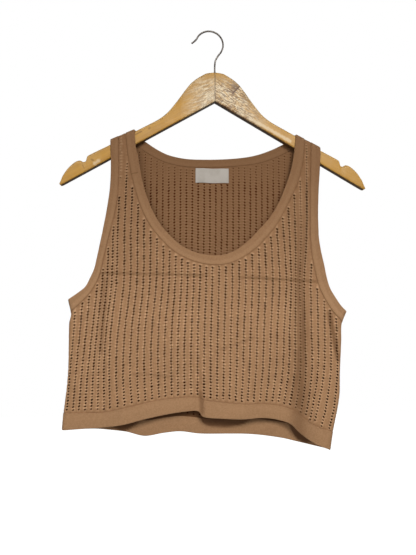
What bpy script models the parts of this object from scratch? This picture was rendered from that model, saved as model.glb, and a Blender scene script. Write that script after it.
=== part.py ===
"""Open-knit tank top hung on a plain wooden hanger.

Metres, +Z up. X runs across the garment and -Y faces the viewer. The origin is the
underside of the hook's bend, where a rail or a peg carries the hanger.

The cloth is drawn on a flat pattern, x across and z up, as seen from the front.
cloth_point() lays a place of that pattern in space: it turns the cloth round the side
seams, over the hanger's arms and along its folds. Pieces that meet at a seam share the
same pattern line, so the gap between them is the same all along it.
"""

import math
from typing import NamedTuple

import bmesh
import bpy
from mathutils import Vector
from mathutils.geometry import delaunay_2d_cdt

FRONT, BACK = -1, 1
LEFT, RIGHT = -1, 1

# Cloth walls, and the gap between two pieces at a seam
PANEL_WALL = 0.0016
BAND_WALL = 0.0024
LABEL_WALL = 0.0010
SEAM_GAP = 0.0003

# Hanger: arms of one thickness on either side of a centre joint, and a bent wire hook
HANGER_CENTRE_X = 0.0086
ARM_HALF_THICKNESS = 0.0060
ARM_TOP_ROUNDING = 0.0040
ARM_BOTTOM_ROUNDING = 0.0025
ARM_SLOPE = math.radians(30.0)
ARM_APEX_Z = -0.1070
HOOK_WIRE_RADIUS = 0.00125
HOOK_BEND_RADIUS = 0.0206
HOOK_BEND_CENTRE = (0.0005, -0.0193)
HOOK_BEND_ANGLES = (158.0, -32.0)  # degrees from +X, tip end first
HOOK_BEND_POINTS = 11
HOOK_TIP = ((-0.0260, -0.0183), (-0.0225, -0.0157))
HOOK_STEM = ((0.0139, -0.0357), (0.0101, -0.0425), (0.0088, -0.0490))
HOOK_STEM_STRAIGHT_Z = -0.0600
HOOK_END_Z = -0.0820
HOOK_BORE_RADIUS = 0.0016
BORE_SIDES = 12
BORE_DEPTH = 0.0600
BORE_END_Z = -0.0830

# Cloth over the hanger's arms: half the distance between front and back, and the bend
STRAP_HALF_GAP = 0.0077
STRAP_BEND = 0.0057
STRAP_BEND_RISE = STRAP_BEND / math.cos(ARM_SLOPE)
STRAP_BEND_LENGTH = 0.5 * math.pi * 0.5 * (STRAP_BEND + STRAP_BEND_RISE)
STRAP_TOP_LENGTH = STRAP_HALF_GAP - STRAP_BEND

# Cloth round a side seam: how far in from the edge the turn reaches, and along the cloth
SIDE_TURN = 0.0050
SIDE_TURN_LENGTH = 0.5 * math.pi * SIDE_TURN
SIDE_STRETCH = SIDE_TURN_LENGTH - SIDE_TURN
UNDERARM_SPREAD = 1.5

# Spacing of the mesh
CURVE_STEP = 0.0006
COARSE = 0.0120
STRAP_STEP = 0.0029
SIDE_STEP = 0.0018
GRID_X = 0.0105
GRID_Z = 0.0175
GRID_MARGIN = 0.0022
TURN_MARGIN = 0.0010
STRAP_MARGIN = 0.0009
STRAP_COLUMNS = 4
STRAP_ROWS = 6
TURN_SHARES = (0.3, 0.62, 1.0)
LAST_SPACING = 0.6
MITRE_LIMIT = 0.3
FOLD_FADE = 0.25
HANGER_STEP = 0.0110
HOOK_THINNING = 3
TIP_STEP = 0.00275
TIP_START = 0.1800
TIP_END_SPACING = 0.0008


class Section(NamedTuple):
    """One cut across a band: its free edge, then the edge sewn to the panel."""

    free_x: float
    free_z: float
    seam_x: float
    seam_z: float


class Fold(NamedTuple):
    """A soft trough from its top to its bottom, or a ridge where the depth is negative."""

    top_x: float
    top_z: float
    bottom_x: float
    bottom_z: float
    width: float
    depth: float


class Ends(NamedTuple):
    """Where a band crosses the ridge of a shoulder."""

    free_x: float
    seam_x: float


# The ridge of each shoulder, cloth middle: x, z. It leans less than the arm beneath it.
SHOULDER_RIDGE = (
    (-0.1750, -0.1820),
    (-0.1434, -0.1672),
    (-0.1090, -0.1513),
    (-0.0750, -0.1357),
    (0.0950, -0.1362),
    (0.1288, -0.1537),
    (0.1651, -0.1725),
    (0.2000, -0.1905),
)

# Each side seam from the hem's corner up to the tip under the arm: z, x.
SIDE_SEAM = {
    LEFT: (
        (-0.5810, -0.2060),
        (-0.5565, -0.2040),
        (-0.5233, -0.2002),
        (-0.4930, -0.1983),
        (-0.4320, -0.1983),
        (-0.4180, -0.1956),
        (-0.3995, -0.1996),
    ),
    RIGHT: (
        (-0.6147, 0.1747),
        (-0.5880, 0.1790),
        (-0.5577, 0.1856),
        (-0.5330, 0.1896),
        (-0.5033, 0.1903),
        (-0.4576, 0.1933),
        (-0.4324, 0.1942),
        (-0.4164, 0.2004),
    ),
}

# Neckband, from the left shoulder to the right.
NECK_SHOULDER = {LEFT: Ends(-0.1085, -0.1215), RIGHT: Ends(0.1288, 0.1415)}
NECKBAND = {
    FRONT: (
        Section(-0.1068, -0.1740, -0.1197, -0.1755),
        Section(-0.1025, -0.1940, -0.1166, -0.1985),
        Section(-0.0975, -0.2220, -0.1109, -0.2262),
        Section(-0.0914, -0.2456, -0.1042, -0.2503),
        Section(-0.0840, -0.2654, -0.0965, -0.2712),
        Section(-0.0723, -0.2870, -0.0838, -0.2945),
        Section(-0.0592, -0.3033, -0.0690, -0.3125),
        Section(-0.0442, -0.3175, -0.0520, -0.3285),
        Section(-0.0300, -0.3260, -0.0355, -0.3382),
        Section(-0.0130, -0.3320, -0.0160, -0.3455),
        Section(0.0060, -0.3345, 0.0070, -0.3487),
        Section(0.0250, -0.3320, 0.0295, -0.3460),
        Section(0.0430, -0.3235, 0.0500, -0.3365),
        Section(0.0584, -0.3108, 0.0691, -0.3225),
        Section(0.0738, -0.2946, 0.0848, -0.3062),
        Section(0.0886, -0.2776, 0.0998, -0.2870),
        Section(0.1032, -0.2524, 0.1155, -0.2583),
        Section(0.1111, -0.2331, 0.1249, -0.2390),
        Section(0.1176, -0.2152, 0.1325, -0.2195),
        Section(0.1222, -0.1972, 0.1376, -0.1995),
        Section(0.1254, -0.1778, 0.1406, -0.1785),
    ),
    BACK: (
        Section(-0.1015, -0.1585, -0.1120, -0.1670),
        Section(-0.0890, -0.1683, -0.0975, -0.1785),
        Section(-0.0741, -0.1778, -0.0810, -0.1885),
        Section(-0.0580, -0.1850, -0.0622, -0.1968),
        Section(-0.0341, -0.1898, -0.0360, -0.2020),
        Section(-0.0050, -0.1905, -0.0050, -0.2028),
        Section(0.0266, -0.1892, 0.0272, -0.2015),
        Section(0.0537, -0.1862, 0.0558, -0.1984),
        Section(0.0719, -0.1823, 0.0756, -0.1950),
        Section(0.0903, -0.1758, 0.0955, -0.1882),
        Section(0.1077, -0.1675, 0.1145, -0.1795),
        Section(0.1205, -0.1600, 0.1302, -0.1695),
    ),
}

# Armhole bands, from the shoulder down to the underarm, the same on front and back.
ARMHOLE_SHOULDER = {LEFT: Ends(-0.1434, -0.1308), RIGHT: Ends(0.1651, 0.1500)}
UNDERARM = {LEFT: (-0.3995, -0.4180), RIGHT: (-0.4164, -0.4324)}  # z of tip, z of seam
ARMHOLE_BAND = {
    LEFT: (
        Section(-0.1419, -0.2062, -0.1302, -0.2050),
        Section(-0.1431, -0.2397, -0.1306, -0.2396),
        Section(-0.1476, -0.2728, -0.1351, -0.2755),
        Section(-0.1537, -0.3060, -0.1430, -0.3083),
        Section(-0.1598, -0.3356, -0.1497, -0.3376),
        Section(-0.1638, -0.3536, -0.1540, -0.3570),
        Section(-0.1695, -0.3668, -0.1585, -0.3705),
        Section(-0.1760, -0.3795, -0.1664, -0.3850),
        Section(-0.1865, -0.3885, -0.1768, -0.3978),
    ),
    RIGHT: (
        Section(0.1635, -0.2040, 0.1490, -0.2040),
        Section(0.1613, -0.2353, 0.1479, -0.2360),
        Section(0.1600, -0.2691, 0.1474, -0.2695),
        Section(0.1605, -0.3030, 0.1474, -0.3034),
        Section(0.1628, -0.3220, 0.1488, -0.3250),
        Section(0.1677, -0.3440, 0.1526, -0.3490),
        Section(0.1724, -0.3665, 0.1590, -0.3745),
        Section(0.1775, -0.3818, 0.1650, -0.3900),
        Section(0.1854, -0.3950, 0.1735, -0.4045),
        Section(0.1933, -0.4065, 0.1830, -0.4180),
    ),
}

# Hem bands, from the left side seam to the right. The free edge is the lower one.
HEM_CORNER = {LEFT: (-0.5810, -0.5565), RIGHT: (-0.6147, -0.5880)}  # z of edge, z of seam
HEM_BAND = {
    FRONT: (
        Section(-0.1780, -0.5792, -0.1760, -0.5560),
        Section(-0.1530, -0.5777, -0.1500, -0.5558),
        Section(-0.1300, -0.5748, -0.1263, -0.5505),
        Section(-0.0945, -0.5673, -0.0917, -0.5434),
        Section(-0.0640, -0.5610, -0.0640, -0.5385),
        Section(-0.0350, -0.5568, -0.0360, -0.5360),
        Section(-0.0160, -0.5562, -0.0195, -0.5358),
        Section(-0.0085, -0.5635, -0.0050, -0.5392),
        Section(0.0190, -0.5660, 0.0186, -0.5422),
        Section(0.0494, -0.5676, 0.0495, -0.5456),
        Section(0.0800, -0.5670, 0.0806, -0.5459),
        Section(0.1030, -0.5708, 0.1041, -0.5493),
        Section(0.1170, -0.5762, 0.1180, -0.5539),
        Section(0.1262, -0.5855, 0.1274, -0.5603),
        Section(0.1380, -0.5950, 0.1399, -0.5703),
        Section(0.1555, -0.6062, 0.1590, -0.5806),
    ),
    BACK: (
        Section(-0.1800, -0.5808, -0.1790, -0.5572),
        Section(-0.1550, -0.5812, -0.1540, -0.5582),
        Section(-0.1182, -0.5863, -0.1180, -0.5632),
        Section(-0.0920, -0.5930, -0.0920, -0.5695),
        Section(-0.0643, -0.5886, -0.0640, -0.5660),
        Section(-0.0409, -0.5865, -0.0409, -0.5640),
        Section(-0.0112, -0.5901, -0.0112, -0.5670),
        Section(0.0300, -0.5911, 0.0300, -0.5680),
        Section(0.0640, -0.5922, 0.0650, -0.5690),
        Section(0.1065, -0.5979, 0.1072, -0.5745),
        Section(0.1310, -0.6037, 0.1330, -0.5795),
        Section(0.1550, -0.6095, 0.1580, -0.5840),
    ),
}

# Half the distance between front and back walls: z, beside the side seams, in the middle.
BODY_GAP = {
    FRONT: (
        (-0.6200, 0.0050, 0.0130),
        (-0.4500, 0.0050, 0.0130),
        (-0.3800, 0.0060, 0.0118),
        (-0.3000, 0.0080, 0.0095),
        (-0.2300, 0.0077, 0.0077),
        (-0.2000, 0.0077, 0.0077),
        (-0.1400, 0.0077, 0.0077),
    ),
    BACK: (
        (-0.6200, 0.0050, 0.0090),
        (-0.4500, 0.0050, 0.0095),
        (-0.3800, 0.0060, 0.0095),
        (-0.3000, 0.0078, 0.0088),
        (-0.2300, 0.0077, 0.0077),
        (-0.2000, 0.0077, 0.0077),
        (-0.1400, 0.0077, 0.0077),
    ),
}

# The flat sides step forward to the middle along two lines: z, left x, right x.
STEP_LINES = {
    FRONT: (
        (-0.6200, -0.1575, 0.1262),
        (-0.5524, -0.1574, 0.1276),
        (-0.4844, -0.1554, 0.1300),
        (-0.4470, -0.1488, 0.1335),
        (-0.3705, -0.1433, 0.1288),
        (-0.3300, -0.1436, 0.1322),
    ),
    BACK: (
        (-0.6200, -0.1480, 0.1330),
        (-0.4700, -0.1420, 0.1380),
        (-0.3300, -0.1300, 0.1300),
    ),
}
STEP_WIDTH = {FRONT: 0.018, BACK: 0.032}

# How far each hem stands from the middle plane: x, half gap.
HEM_GAP = {
    FRONT: (
        (-0.2036, 0.0045),
        (-0.1530, 0.0050),
        (-0.1360, 0.0088),
        (-0.1210, 0.0125),
        (-0.1070, 0.0108),
        (-0.0880, 0.0066),
        (-0.0280, 0.0060),
        (-0.0160, 0.0072),
        (-0.0070, 0.0125),
        (0.0220, 0.0136),
        (0.0480, 0.0118),
        (0.0700, 0.0072),
        (0.1100, 0.0070),
        (0.1270, 0.0120),
        (0.1410, 0.0106),
        (0.1560, 0.0056),
        (0.1750, 0.0045),
    ),
    BACK: (
        (-0.2036, 0.0045),
        (-0.1500, 0.0055),
        (-0.1180, 0.0092),
        (-0.0900, 0.0102),
        (-0.0600, 0.0078),
        (-0.0100, 0.0064),
        (0.0350, 0.0086),
        (0.0850, 0.0074),
        (0.1300, 0.0064),
        (0.1750, 0.0045),
    ),
}
HEM_WAVE_TOP = -0.4500
HEM_WAVE_FULL = -0.5300

FOLDS = {
    FRONT: (
        Fold(0.1735, -0.4160, 0.1885, -0.4880, 0.0130, 0.0022),
        Fold(-0.0134, -0.4900, -0.0105, -0.5700, 0.0120, 0.0028),
        Fold(-0.1800, -0.4120, -0.1860, -0.4700, 0.0140, 0.0014),
    ),
    BACK: (
        Fold(-0.0760, -0.3300, -0.0900, -0.5500, 0.0340, 0.0026),
        Fold(0.0620, -0.3500, 0.0700, -0.5600, 0.0300, 0.0022),
        Fold(0.1740, -0.4250, 0.1850, -0.5000, 0.0150, 0.0018),
    ),
}

LABEL_X = (-0.0193, 0.0297)
LABEL_Z = (-0.2255, -0.2040)
LABEL_COLUMNS = 6
LABEL_ROWS = 3

# An arm's top edge: distance out from the centre joint, z, rise of the bottom edge at the tip.
ARM_TOP = (
    (0.0002, -0.0622, 0.0),
    (0.0120, -0.0640, 0.0),
    (0.0180, -0.0670, 0.0),
    (0.0285, -0.0738, 0.0),
    (0.0360, -0.0805, 0.0),
    (0.0440, -0.0907, 0.0),
    (0.0510, -0.1006, 0.0),
    (0.0590, -0.1115, 0.0),
    (0.0700, -0.1247, 0.0),
    (0.0820, -0.1344, 0.0),
    (0.1030, -0.1462, 0.0),
    (0.1175, -0.1541, 0.0),
    (0.1520, -0.1737, 0.0),
    (0.1835, -0.1903, 0.0),
    (0.1850, -0.1925, 0.0),
    (0.1868, -0.1985, 0.0),
    (0.1905, -0.1998, 0.0),
    (0.1945, -0.1978, 0.0),
    (0.2010, -0.1995, 0.0),
    (0.2110, -0.2083, 0.0),
    (0.2190, -0.2200, 0.0002),
    (0.2218, -0.2275, 0.0010),
    (0.2232, -0.2320, 0.0026),
)
CORNER_POINTS = 3
ROUNDING_SHARE = 0.45
ROUNDING_SPREAD = 1.6
SHARP_ANGLE = math.radians(50.0)

KNIT_COLOUR = (0.305, 0.178, 0.097)
BAND_COLOUR = (0.320, 0.188, 0.104)
LABEL_COLOUR = (0.62, 0.58, 0.52)
WOOD_COLOUR = (0.560, 0.330, 0.110)
STEEL_COLOUR = (0.36, 0.35, 0.34)
CLOTH_ROUGHNESS = 0.9
LABEL_ROUGHNESS = 0.7
WOOD_ROUGHNESS = 0.45
STEEL_ROUGHNESS = 0.3


def smooth(value):
    """0 below 0, 1 above 1, and an even ease between."""
    value = min(max(value, 0.0), 1.0)
    return value * value * (3.0 - 2.0 * value)


def interpolate(rows, at, column=1):
    """The value of a column at a position, on a smooth curve through the rows."""
    if at <= rows[0][0]:
        return rows[0][column]
    if at >= rows[-1][0]:
        return rows[-1][column]
    index = next(i for i in range(len(rows) - 1) if at <= rows[i + 1][0])
    start, end = rows[index], rows[index + 1]
    before = rows[max(index - 1, 0)]
    after = rows[min(index + 2, len(rows) - 1)]
    length = end[0] - start[0]
    slope_in = (end[column] - before[column]) / (end[0] - before[0])
    slope_out = (after[column] - start[column]) / (after[0] - start[0])
    t = (at - start[0]) / length
    return (
        (2 * t**3 - 3 * t**2 + 1) * start[column]
        + (t**3 - 2 * t**2 + t) * length * slope_in
        + (3 * t**2 - 2 * t**3) * end[column]
        + (t**3 - t**2) * length * slope_out
    )


def smooth_path(points):
    """Close points on a smooth curve through the given rows of coordinates."""
    places = [0.0]
    for start, end in zip(points, points[1:]):
        places.append(places[-1] + math.dist(start, end))
    rows = [(place, *point) for place, point in zip(places, points)]
    count = math.ceil(places[-1] / CURVE_STEP)
    columns = range(1, len(points[0]) + 1)
    return [
        tuple(interpolate(rows, places[-1] * i / count, column) for column in columns)
        for i in range(count + 1)
    ]


def thinned(sections):
    """The end sections, and those between them that are as far apart as the cloth bends."""
    kept, last = [sections[0]], sections[-1]
    for section in sections[1:-1]:
        spacing = spacing_at(*section_middle(section))
        if apart(section, kept[-1]) >= spacing and apart(section, last) >= LAST_SPACING * spacing:
            kept.append(section)
    return [*kept, last]


def apart(one, other):
    """The distance between two sections, measured on the edge where it is larger."""
    return max(math.dist(one[:2], other[:2]), math.dist(one[2:], other[2:]))


def spacing_at(x, z):
    """How far apart the mesh points are at a place of the pattern."""
    from_side = min(hand * (side_pattern_x(hand, z) - x) for hand in (LEFT, RIGHT))
    if from_side < SIDE_TURN_LENGTH + SIDE_STEP:
        return SIDE_STEP
    if z > strap_turn_z(x) - STRAP_STEP:
        return STRAP_STEP
    return COARSE


def side_pattern_x(hand, z):
    """Pattern x of a side seam. Above the underarm's tip the line runs on outwards."""
    rows = SIDE_SEAM[hand]
    above_tip = max(z - rows[-1][0], 0.0)
    return interpolate(rows, z) + hand * (SIDE_STRETCH + UNDERARM_SPREAD * above_tip)


def strap_turn_z(x):
    """Height at which the cloth starts to bend over the hanger's arm."""
    return interpolate(SHOULDER_RIDGE, x) - STRAP_BEND_RISE


def ridge_pattern_z(x):
    """Pattern z of the shoulder seam, on the ridge of the arm."""
    return strap_turn_z(x) + STRAP_BEND_LENGTH + STRAP_TOP_LENGTH


def fold_depth(fold, x, z):
    """How far a fold draws the cloth in at a place of the pattern."""
    run_x, run_z = fold.bottom_x - fold.top_x, fold.bottom_z - fold.top_z
    length = math.hypot(run_x, run_z)
    along = ((x - fold.top_x) * run_x + (z - fold.top_z) * run_z) / length**2
    across = abs((x - fold.top_x) * run_z - (z - fold.top_z) * run_x) / length
    ends = smooth(min(along, 1.0 - along) / FOLD_FADE)
    return fold.depth * ends * smooth(1.0 - 2.0 * across / fold.width)


def half_gap(x, z, side):
    """Distance of the wall's middle from the plane between front and back."""
    beside, middle = (interpolate(BODY_GAP[side], z, column) for column in (1, 2))
    left_x, right_x = (interpolate(STEP_LINES[side], z, column) for column in (1, 2))
    width = STEP_WIDTH[side]
    step = smooth(0.5 + (x - left_x) / width) * smooth(0.5 + (right_x - x) / width)
    gap = beside + (middle - beside) * step
    wave = smooth((HEM_WAVE_TOP - z) / (HEM_WAVE_TOP - HEM_WAVE_FULL))
    gap += wave * (interpolate(HEM_GAP[side], x) - gap)
    return gap - sum(fold_depth(fold, x, z) for fold in FOLDS[side])


def cloth_point(x, z, side):
    """Middle of the cloth's wall, in space, at a place of the pattern."""
    depth = half_gap(x, z, side)
    for hand in (LEFT, RIGHT):
        seam_x = side_pattern_x(hand, z)
        inside = hand * (seam_x - x)
        if inside < SIDE_TURN_LENGTH:
            angle = inside / SIDE_TURN
            x = seam_x - hand * (SIDE_STRETCH + SIDE_TURN * (1.0 - math.cos(angle)))
            depth *= math.sin(angle)
    over = z - strap_turn_z(x)
    if over > 0.0:
        angle = 0.5 * math.pi * min(over / STRAP_BEND_LENGTH, 1.0)
        depth -= STRAP_BEND * (1.0 - math.cos(angle)) + max(over - STRAP_BEND_LENGTH, 0.0)
        z = strap_turn_z(x) + STRAP_BEND_RISE * math.sin(angle)
    return Vector((x, side * depth, z))


def cloth_normal(x, z, side):
    """Outward direction of the cloth at a place of the pattern."""
    reach = 0.0004
    across = cloth_point(x + reach, z, side) - cloth_point(x - reach, z, side)
    up = cloth_point(x, z + reach, side) - cloth_point(x, z - reach, side)
    return (-side * across.cross(up)).normalized()


def shoulder_section(ends):
    """The section of a band on the ridge of a shoulder."""
    return Section(
        ends.free_x, ridge_pattern_z(ends.free_x), ends.seam_x, ridge_pattern_z(ends.seam_x)
    )


def side_section(hand, free_z, seam_z):
    """The section of a band on a side seam."""
    return Section(
        side_pattern_x(hand, free_z), free_z, side_pattern_x(hand, seam_z), seam_z
    )


def neckband_sections(side):
    """Sections of the neckband on one side, from the left shoulder to the right."""
    left, right = (shoulder_section(NECK_SHOULDER[hand]) for hand in (LEFT, RIGHT))
    return thinned(smooth_path([left, *NECKBAND[side], right]))


def armhole_sections(hand):
    """Sections of an armhole band, from the shoulder down to the underarm."""
    top = shoulder_section(ARMHOLE_SHOULDER[hand])
    underarm = side_section(hand, *UNDERARM[hand])
    return thinned(smooth_path([top, *ARMHOLE_BAND[hand], underarm]))


def hem_sections(side):
    """Sections of a hem band, from the left side seam to the right."""
    left, right = (side_section(hand, *HEM_CORNER[hand]) for hand in (LEFT, RIGHT))
    return thinned(smooth_path([left, *HEM_BAND[side], right]))


def section_middle(section):
    """The middle of a band's section."""
    return (
        0.5 * (section[0] + section[2]),
        0.5 * (section[1] + section[3]),
    )


def seam_edge(sections):
    """The sewn edge of a band, which is the edge of the panel beside it."""
    return [section[2:] for section in sections]


def side_edge(hand):
    """A side seam of a panel, from the hem band up to the armhole band."""
    low, high = HEM_CORNER[hand][1], UNDERARM[hand][1]
    count = math.ceil((high - low) / COARSE)
    heights = (low + (high - low) * i / count for i in range(count + 1))
    return [(side_pattern_x(hand, z), z) for z in heights]


def panel_outline(side):
    """A panel's edge, anticlockwise on the pattern from the left end of its hem."""
    runs = (
        seam_edge(hem_sections(side)),
        side_edge(RIGHT),
        seam_edge(armhole_sections(RIGHT))[::-1],
        seam_edge(neckband_sections(side))[::-1],
        seam_edge(armhole_sections(LEFT)),
        side_edge(LEFT)[::-1],
    )
    outline = []
    for run in runs:
        for point in run:
            if not outline or math.dist(point, outline[-1]) > 1e-6:
                outline.append(point)
    if math.dist(outline[0], outline[-1]) < 1e-6:
        outline.pop()
    return outline


def inset(outline, distance):
    """An anticlockwise outline drawn in by a distance."""
    moved = []
    for before, point, after in zip(outline[-1:] + outline, outline, outline[1:] + outline[:1]):
        start = Vector(point) - Vector(before)
        end = Vector(after) - Vector(point)
        normals = [Vector((-run.y, run.x)).normalized() for run in (start, end)]
        middle = (normals[0] + normals[1]).normalized()
        moved.append(Vector(point) + middle * distance / max(middle.dot(normals[0]), MITRE_LIMIT))
    return moved


def is_inside(point, outline, margin):
    """Whether a place is inside an outline and clear of it by a margin."""
    x, z = point
    inside = False
    for start, end in zip(outline, outline[1:] + outline[:1]):
        if (start[1] > z) != (end[1] > z):
            crossing = start[0] + (z - start[1]) / (end[1] - start[1]) * (end[0] - start[0])
            inside ^= x < crossing
        run = Vector(end) - Vector(start)
        along = (Vector(point) - Vector(start)).dot(run) / run.length_squared
        nearest = Vector(start) + run * min(max(along, 0.0), 1.0)
        if (Vector(point) - nearest).length < margin:
            return False
    return inside


def inner_places(outline):
    """Mesh points inside a panel: a grid, and closer ones round the sides and shoulders."""
    lowest = min(point[1] for point in outline)
    highest = max(point[1] for point in outline)
    places = []
    for row in range(1, math.ceil((highest - lowest) / GRID_Z)):
        z = lowest + row * GRID_Z
        first = side_pattern_x(LEFT, z) + SIDE_TURN_LENGTH
        last = side_pattern_x(RIGHT, z) - SIDE_TURN_LENGTH
        count = round((last - first) / GRID_X)
        shift = 0.5 * (row % 2)
        columns = [first + (last - first) * (i + shift) / count for i in range(1, count - 1)]
        places += [(x, z) for x in columns if is_inside((x, z), outline, GRID_MARGIN)]
    return places + turn_places(outline) + strap_places(outline)


def turn_places(outline):
    """Mesh points round the side seams, level with the points of the panel's own edge."""
    places = []
    for hand in (LEFT, RIGHT):
        for x, z in side_edge(hand)[1:-1]:
            row = [(x - hand * SIDE_TURN_LENGTH * share, z) for share in TURN_SHARES]
            places += [place for place in row if is_inside(place, outline, TURN_MARGIN)]
    return places


def strap_places(outline):
    """Mesh points inside a panel where its straps bend over the arms, in rows along the ridge."""
    places = []
    for hand in (LEFT, RIGHT):
        outer, inner = ARMHOLE_SHOULDER[hand].seam_x, NECK_SHOULDER[hand].seam_x
        for column in range(1, STRAP_COLUMNS):
            x = outer + (inner - outer) * column / STRAP_COLUMNS
            for row in range(1, STRAP_ROWS):
                place = (x, ridge_pattern_z(x) - row * STRAP_STEP)
                if is_inside(place, outline, STRAP_MARGIN):
                    places.append(place)
    return places


def finish(data, colour, roughness, metallic=0.0):
    """Give a mesh or a curve a material of its own."""
    material = bpy.data.materials.new(data.name + "_finish")
    material.use_nodes = True
    shader = material.node_tree.nodes["Principled BSDF"]
    shader.inputs["Base Color"].default_value = (*colour, 1.0)
    shader.inputs["Roughness"].default_value = roughness
    shader.inputs["Metallic"].default_value = metallic
    material.diffuse_color = (*colour, 1.0)
    data.materials.append(material)


def link(data):
    """Link an object that holds this mesh or curve, under the same name."""
    made = bpy.data.objects.new(data.name, data)
    bpy.context.scene.collection.objects.link(made)
    return made


def mesh_of(name, points, faces):
    """A mesh of these points and faces, with every face turned outwards."""
    mesh = bpy.data.meshes.new(name)
    mesh.from_pydata(points, [], faces)
    shape = bmesh.new()
    shape.from_mesh(mesh)
    bmesh.ops.recalc_face_normals(shape, faces=shape.faces)
    shape.to_mesh(mesh)
    shape.free()
    mesh.shade_smooth()
    mesh.set_sharp_from_angle(angle=SHARP_ANGLE)
    return mesh


def walled(places, triangles, rim, side, low, high):
    """Points and faces of a cloth wall between two distances along its outward side."""
    middles = [cloth_point(x, z, side) for x, z in places]
    normals = [cloth_normal(x, z, side) for x, z in places]
    points = [middle + normal * high for middle, normal in zip(middles, normals)]
    points += [middle + normal * low for middle, normal in zip(middles, normals)]
    count = len(places)
    faces = [tuple(triangle) for triangle in triangles]
    faces += [tuple(index + count for index in reversed(triangle)) for triangle in triangles]
    faces += [(end, start, start + count, end + count) for start, end in rim]
    return points, faces


def build_panel(name, side):
    """One panel of the body, triangulated on the pattern and laid in space as a wall."""
    outline = inset(panel_outline(side), 0.5 * SEAM_GAP)
    places = [Vector(point) for point in outline]
    places += [Vector(point) for point in inner_places(outline)]
    rim = [(i, (i + 1) % len(outline)) for i in range(len(outline))]
    flat = delaunay_2d_cdt(places, rim, [], 1, 1e-6)
    half = 0.5 * PANEL_WALL
    points, faces = walled(flat[0], flat[2], rim, side, -half, half)
    mesh = mesh_of(name, points, faces)
    finish(mesh, KNIT_COLOUR, CLOTH_ROUGHNESS)
    link(mesh)


def clear_of_seam(sections):
    """Sections whose sewn edge is drawn back until the seam line is half a gap away."""
    cleared = []
    last = len(sections) - 1
    for index, section in enumerate(sections):
        before = Vector(sections[max(index - 1, 0)][2:])
        after = Vector(sections[min(index + 1, last)][2:])
        free, seam = Vector(section[:2]), Vector(section[2:])
        along = (after - before).normalized()
        across = (free - seam).normalized()
        seam = seam + across * 0.5 * SEAM_GAP / abs(along.cross(across))
        cleared.append(Section(*free, *seam))
    return cleared


def band_ring(section, side):
    """The corners of one cut across a band: outer face from free edge to seam, then inner."""
    free, seam = Vector(section[:2]), Vector(section[2:])
    places = [free, 0.5 * (free + seam), seam]
    middles = [cloth_point(*place, side) for place in places]
    offsets = [cloth_normal(*place, side) * 0.5 * BAND_WALL for place in places]
    outer = [middle + offset for middle, offset in zip(middles, offsets)]
    inner = [middle - offset for middle, offset in zip(middles, offsets)]
    return outer + inner[::-1]


def loft(rings, closed):
    """Points and faces through rings of equal size, joined up or capped at both ends."""
    size = len(rings[0])
    points = [point for ring in rings for point in ring]
    faces = []
    for index in range(len(rings) if closed else len(rings) - 1):
        start, end = index * size, (index + 1) % len(rings) * size
        for corner in range(size):
            following = (corner + 1) % size
            faces.append((start + corner, start + following, end + following, end + corner))
    if not closed:
        faces.append(tuple(range(size)))
        faces.append(tuple(reversed(range(len(points) - size, len(points)))))
    return points, faces


def build_band(name, rings, closed):
    """A knitted band through its rings."""
    mesh = mesh_of(name, *loft(rings, closed))
    finish(mesh, BAND_COLOUR, CLOTH_ROUGHNESS)
    link(mesh)


def build_neckband():
    """The neckband: one ring round the front scoop, both shoulders and the back neck."""
    front, back = (clear_of_seam(neckband_sections(side)) for side in (FRONT, BACK))
    rings = [band_ring(section, FRONT) for section in front]
    rings += [band_ring(section, BACK) for section in back[-2:0:-1]]
    build_band("neckband", rings, closed=True)


def build_armhole_band(name, hand):
    """An armhole band: one ring over the shoulder and under the arm."""
    sections = clear_of_seam(armhole_sections(hand))
    rings = [band_ring(section, FRONT) for section in sections]
    rings += [band_ring(section, BACK) for section in sections[-2:0:-1]]
    build_band(name, rings, closed=True)


def build_hem_band(name, side):
    """The hem band of one panel, ending just short of the other at the side seams."""
    sections = [clear_of_sides(section) for section in clear_of_seam(hem_sections(side))]
    build_band(name, [band_ring(section, side) for section in sections], closed=False)


def clear_of_sides(section):
    """A section kept half a seam gap in from both side seams."""
    free_x, free_z, seam_x, seam_z = section
    moved = []
    for x, z in ((free_x, free_z), (seam_x, seam_z)):
        low = side_pattern_x(LEFT, z) + 0.5 * SEAM_GAP
        high = side_pattern_x(RIGHT, z) - 0.5 * SEAM_GAP
        moved += [min(max(x, low), high), z]
    return Section(*moved)


def build_label():
    """The label, flat on the inside of the back panel under the neckband."""
    width, height = LABEL_X[1] - LABEL_X[0], LABEL_Z[1] - LABEL_Z[0]
    places = [
        Vector((LABEL_X[0] + width * i / LABEL_COLUMNS, LABEL_Z[0] + height * j / LABEL_ROWS))
        for j in range(LABEL_ROWS + 1)
        for i in range(LABEL_COLUMNS + 1)
    ]
    row = LABEL_COLUMNS + 1
    squares = [
        (j * row + i, j * row + i + 1, (j + 1) * row + i + 1, (j + 1) * row + i)
        for j in range(LABEL_ROWS)
        for i in range(LABEL_COLUMNS)
    ]
    around = [*range(row), *range(2 * row - 1, LABEL_ROWS * row, row)]
    around += [*range(len(places) - 1, LABEL_ROWS * row - 1, -1)]
    around += [*range((LABEL_ROWS - 1) * row, 0, -row)]
    rim = list(zip(around, around[1:] + around[:1]))
    high = -(0.5 * PANEL_WALL + SEAM_GAP)
    points, faces = walled(places, squares, rim, BACK, high - LABEL_WALL, high)
    mesh = mesh_of("label", points, faces)
    finish(mesh, LABEL_COLOUR, LABEL_ROUGHNESS)
    link(mesh)


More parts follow.
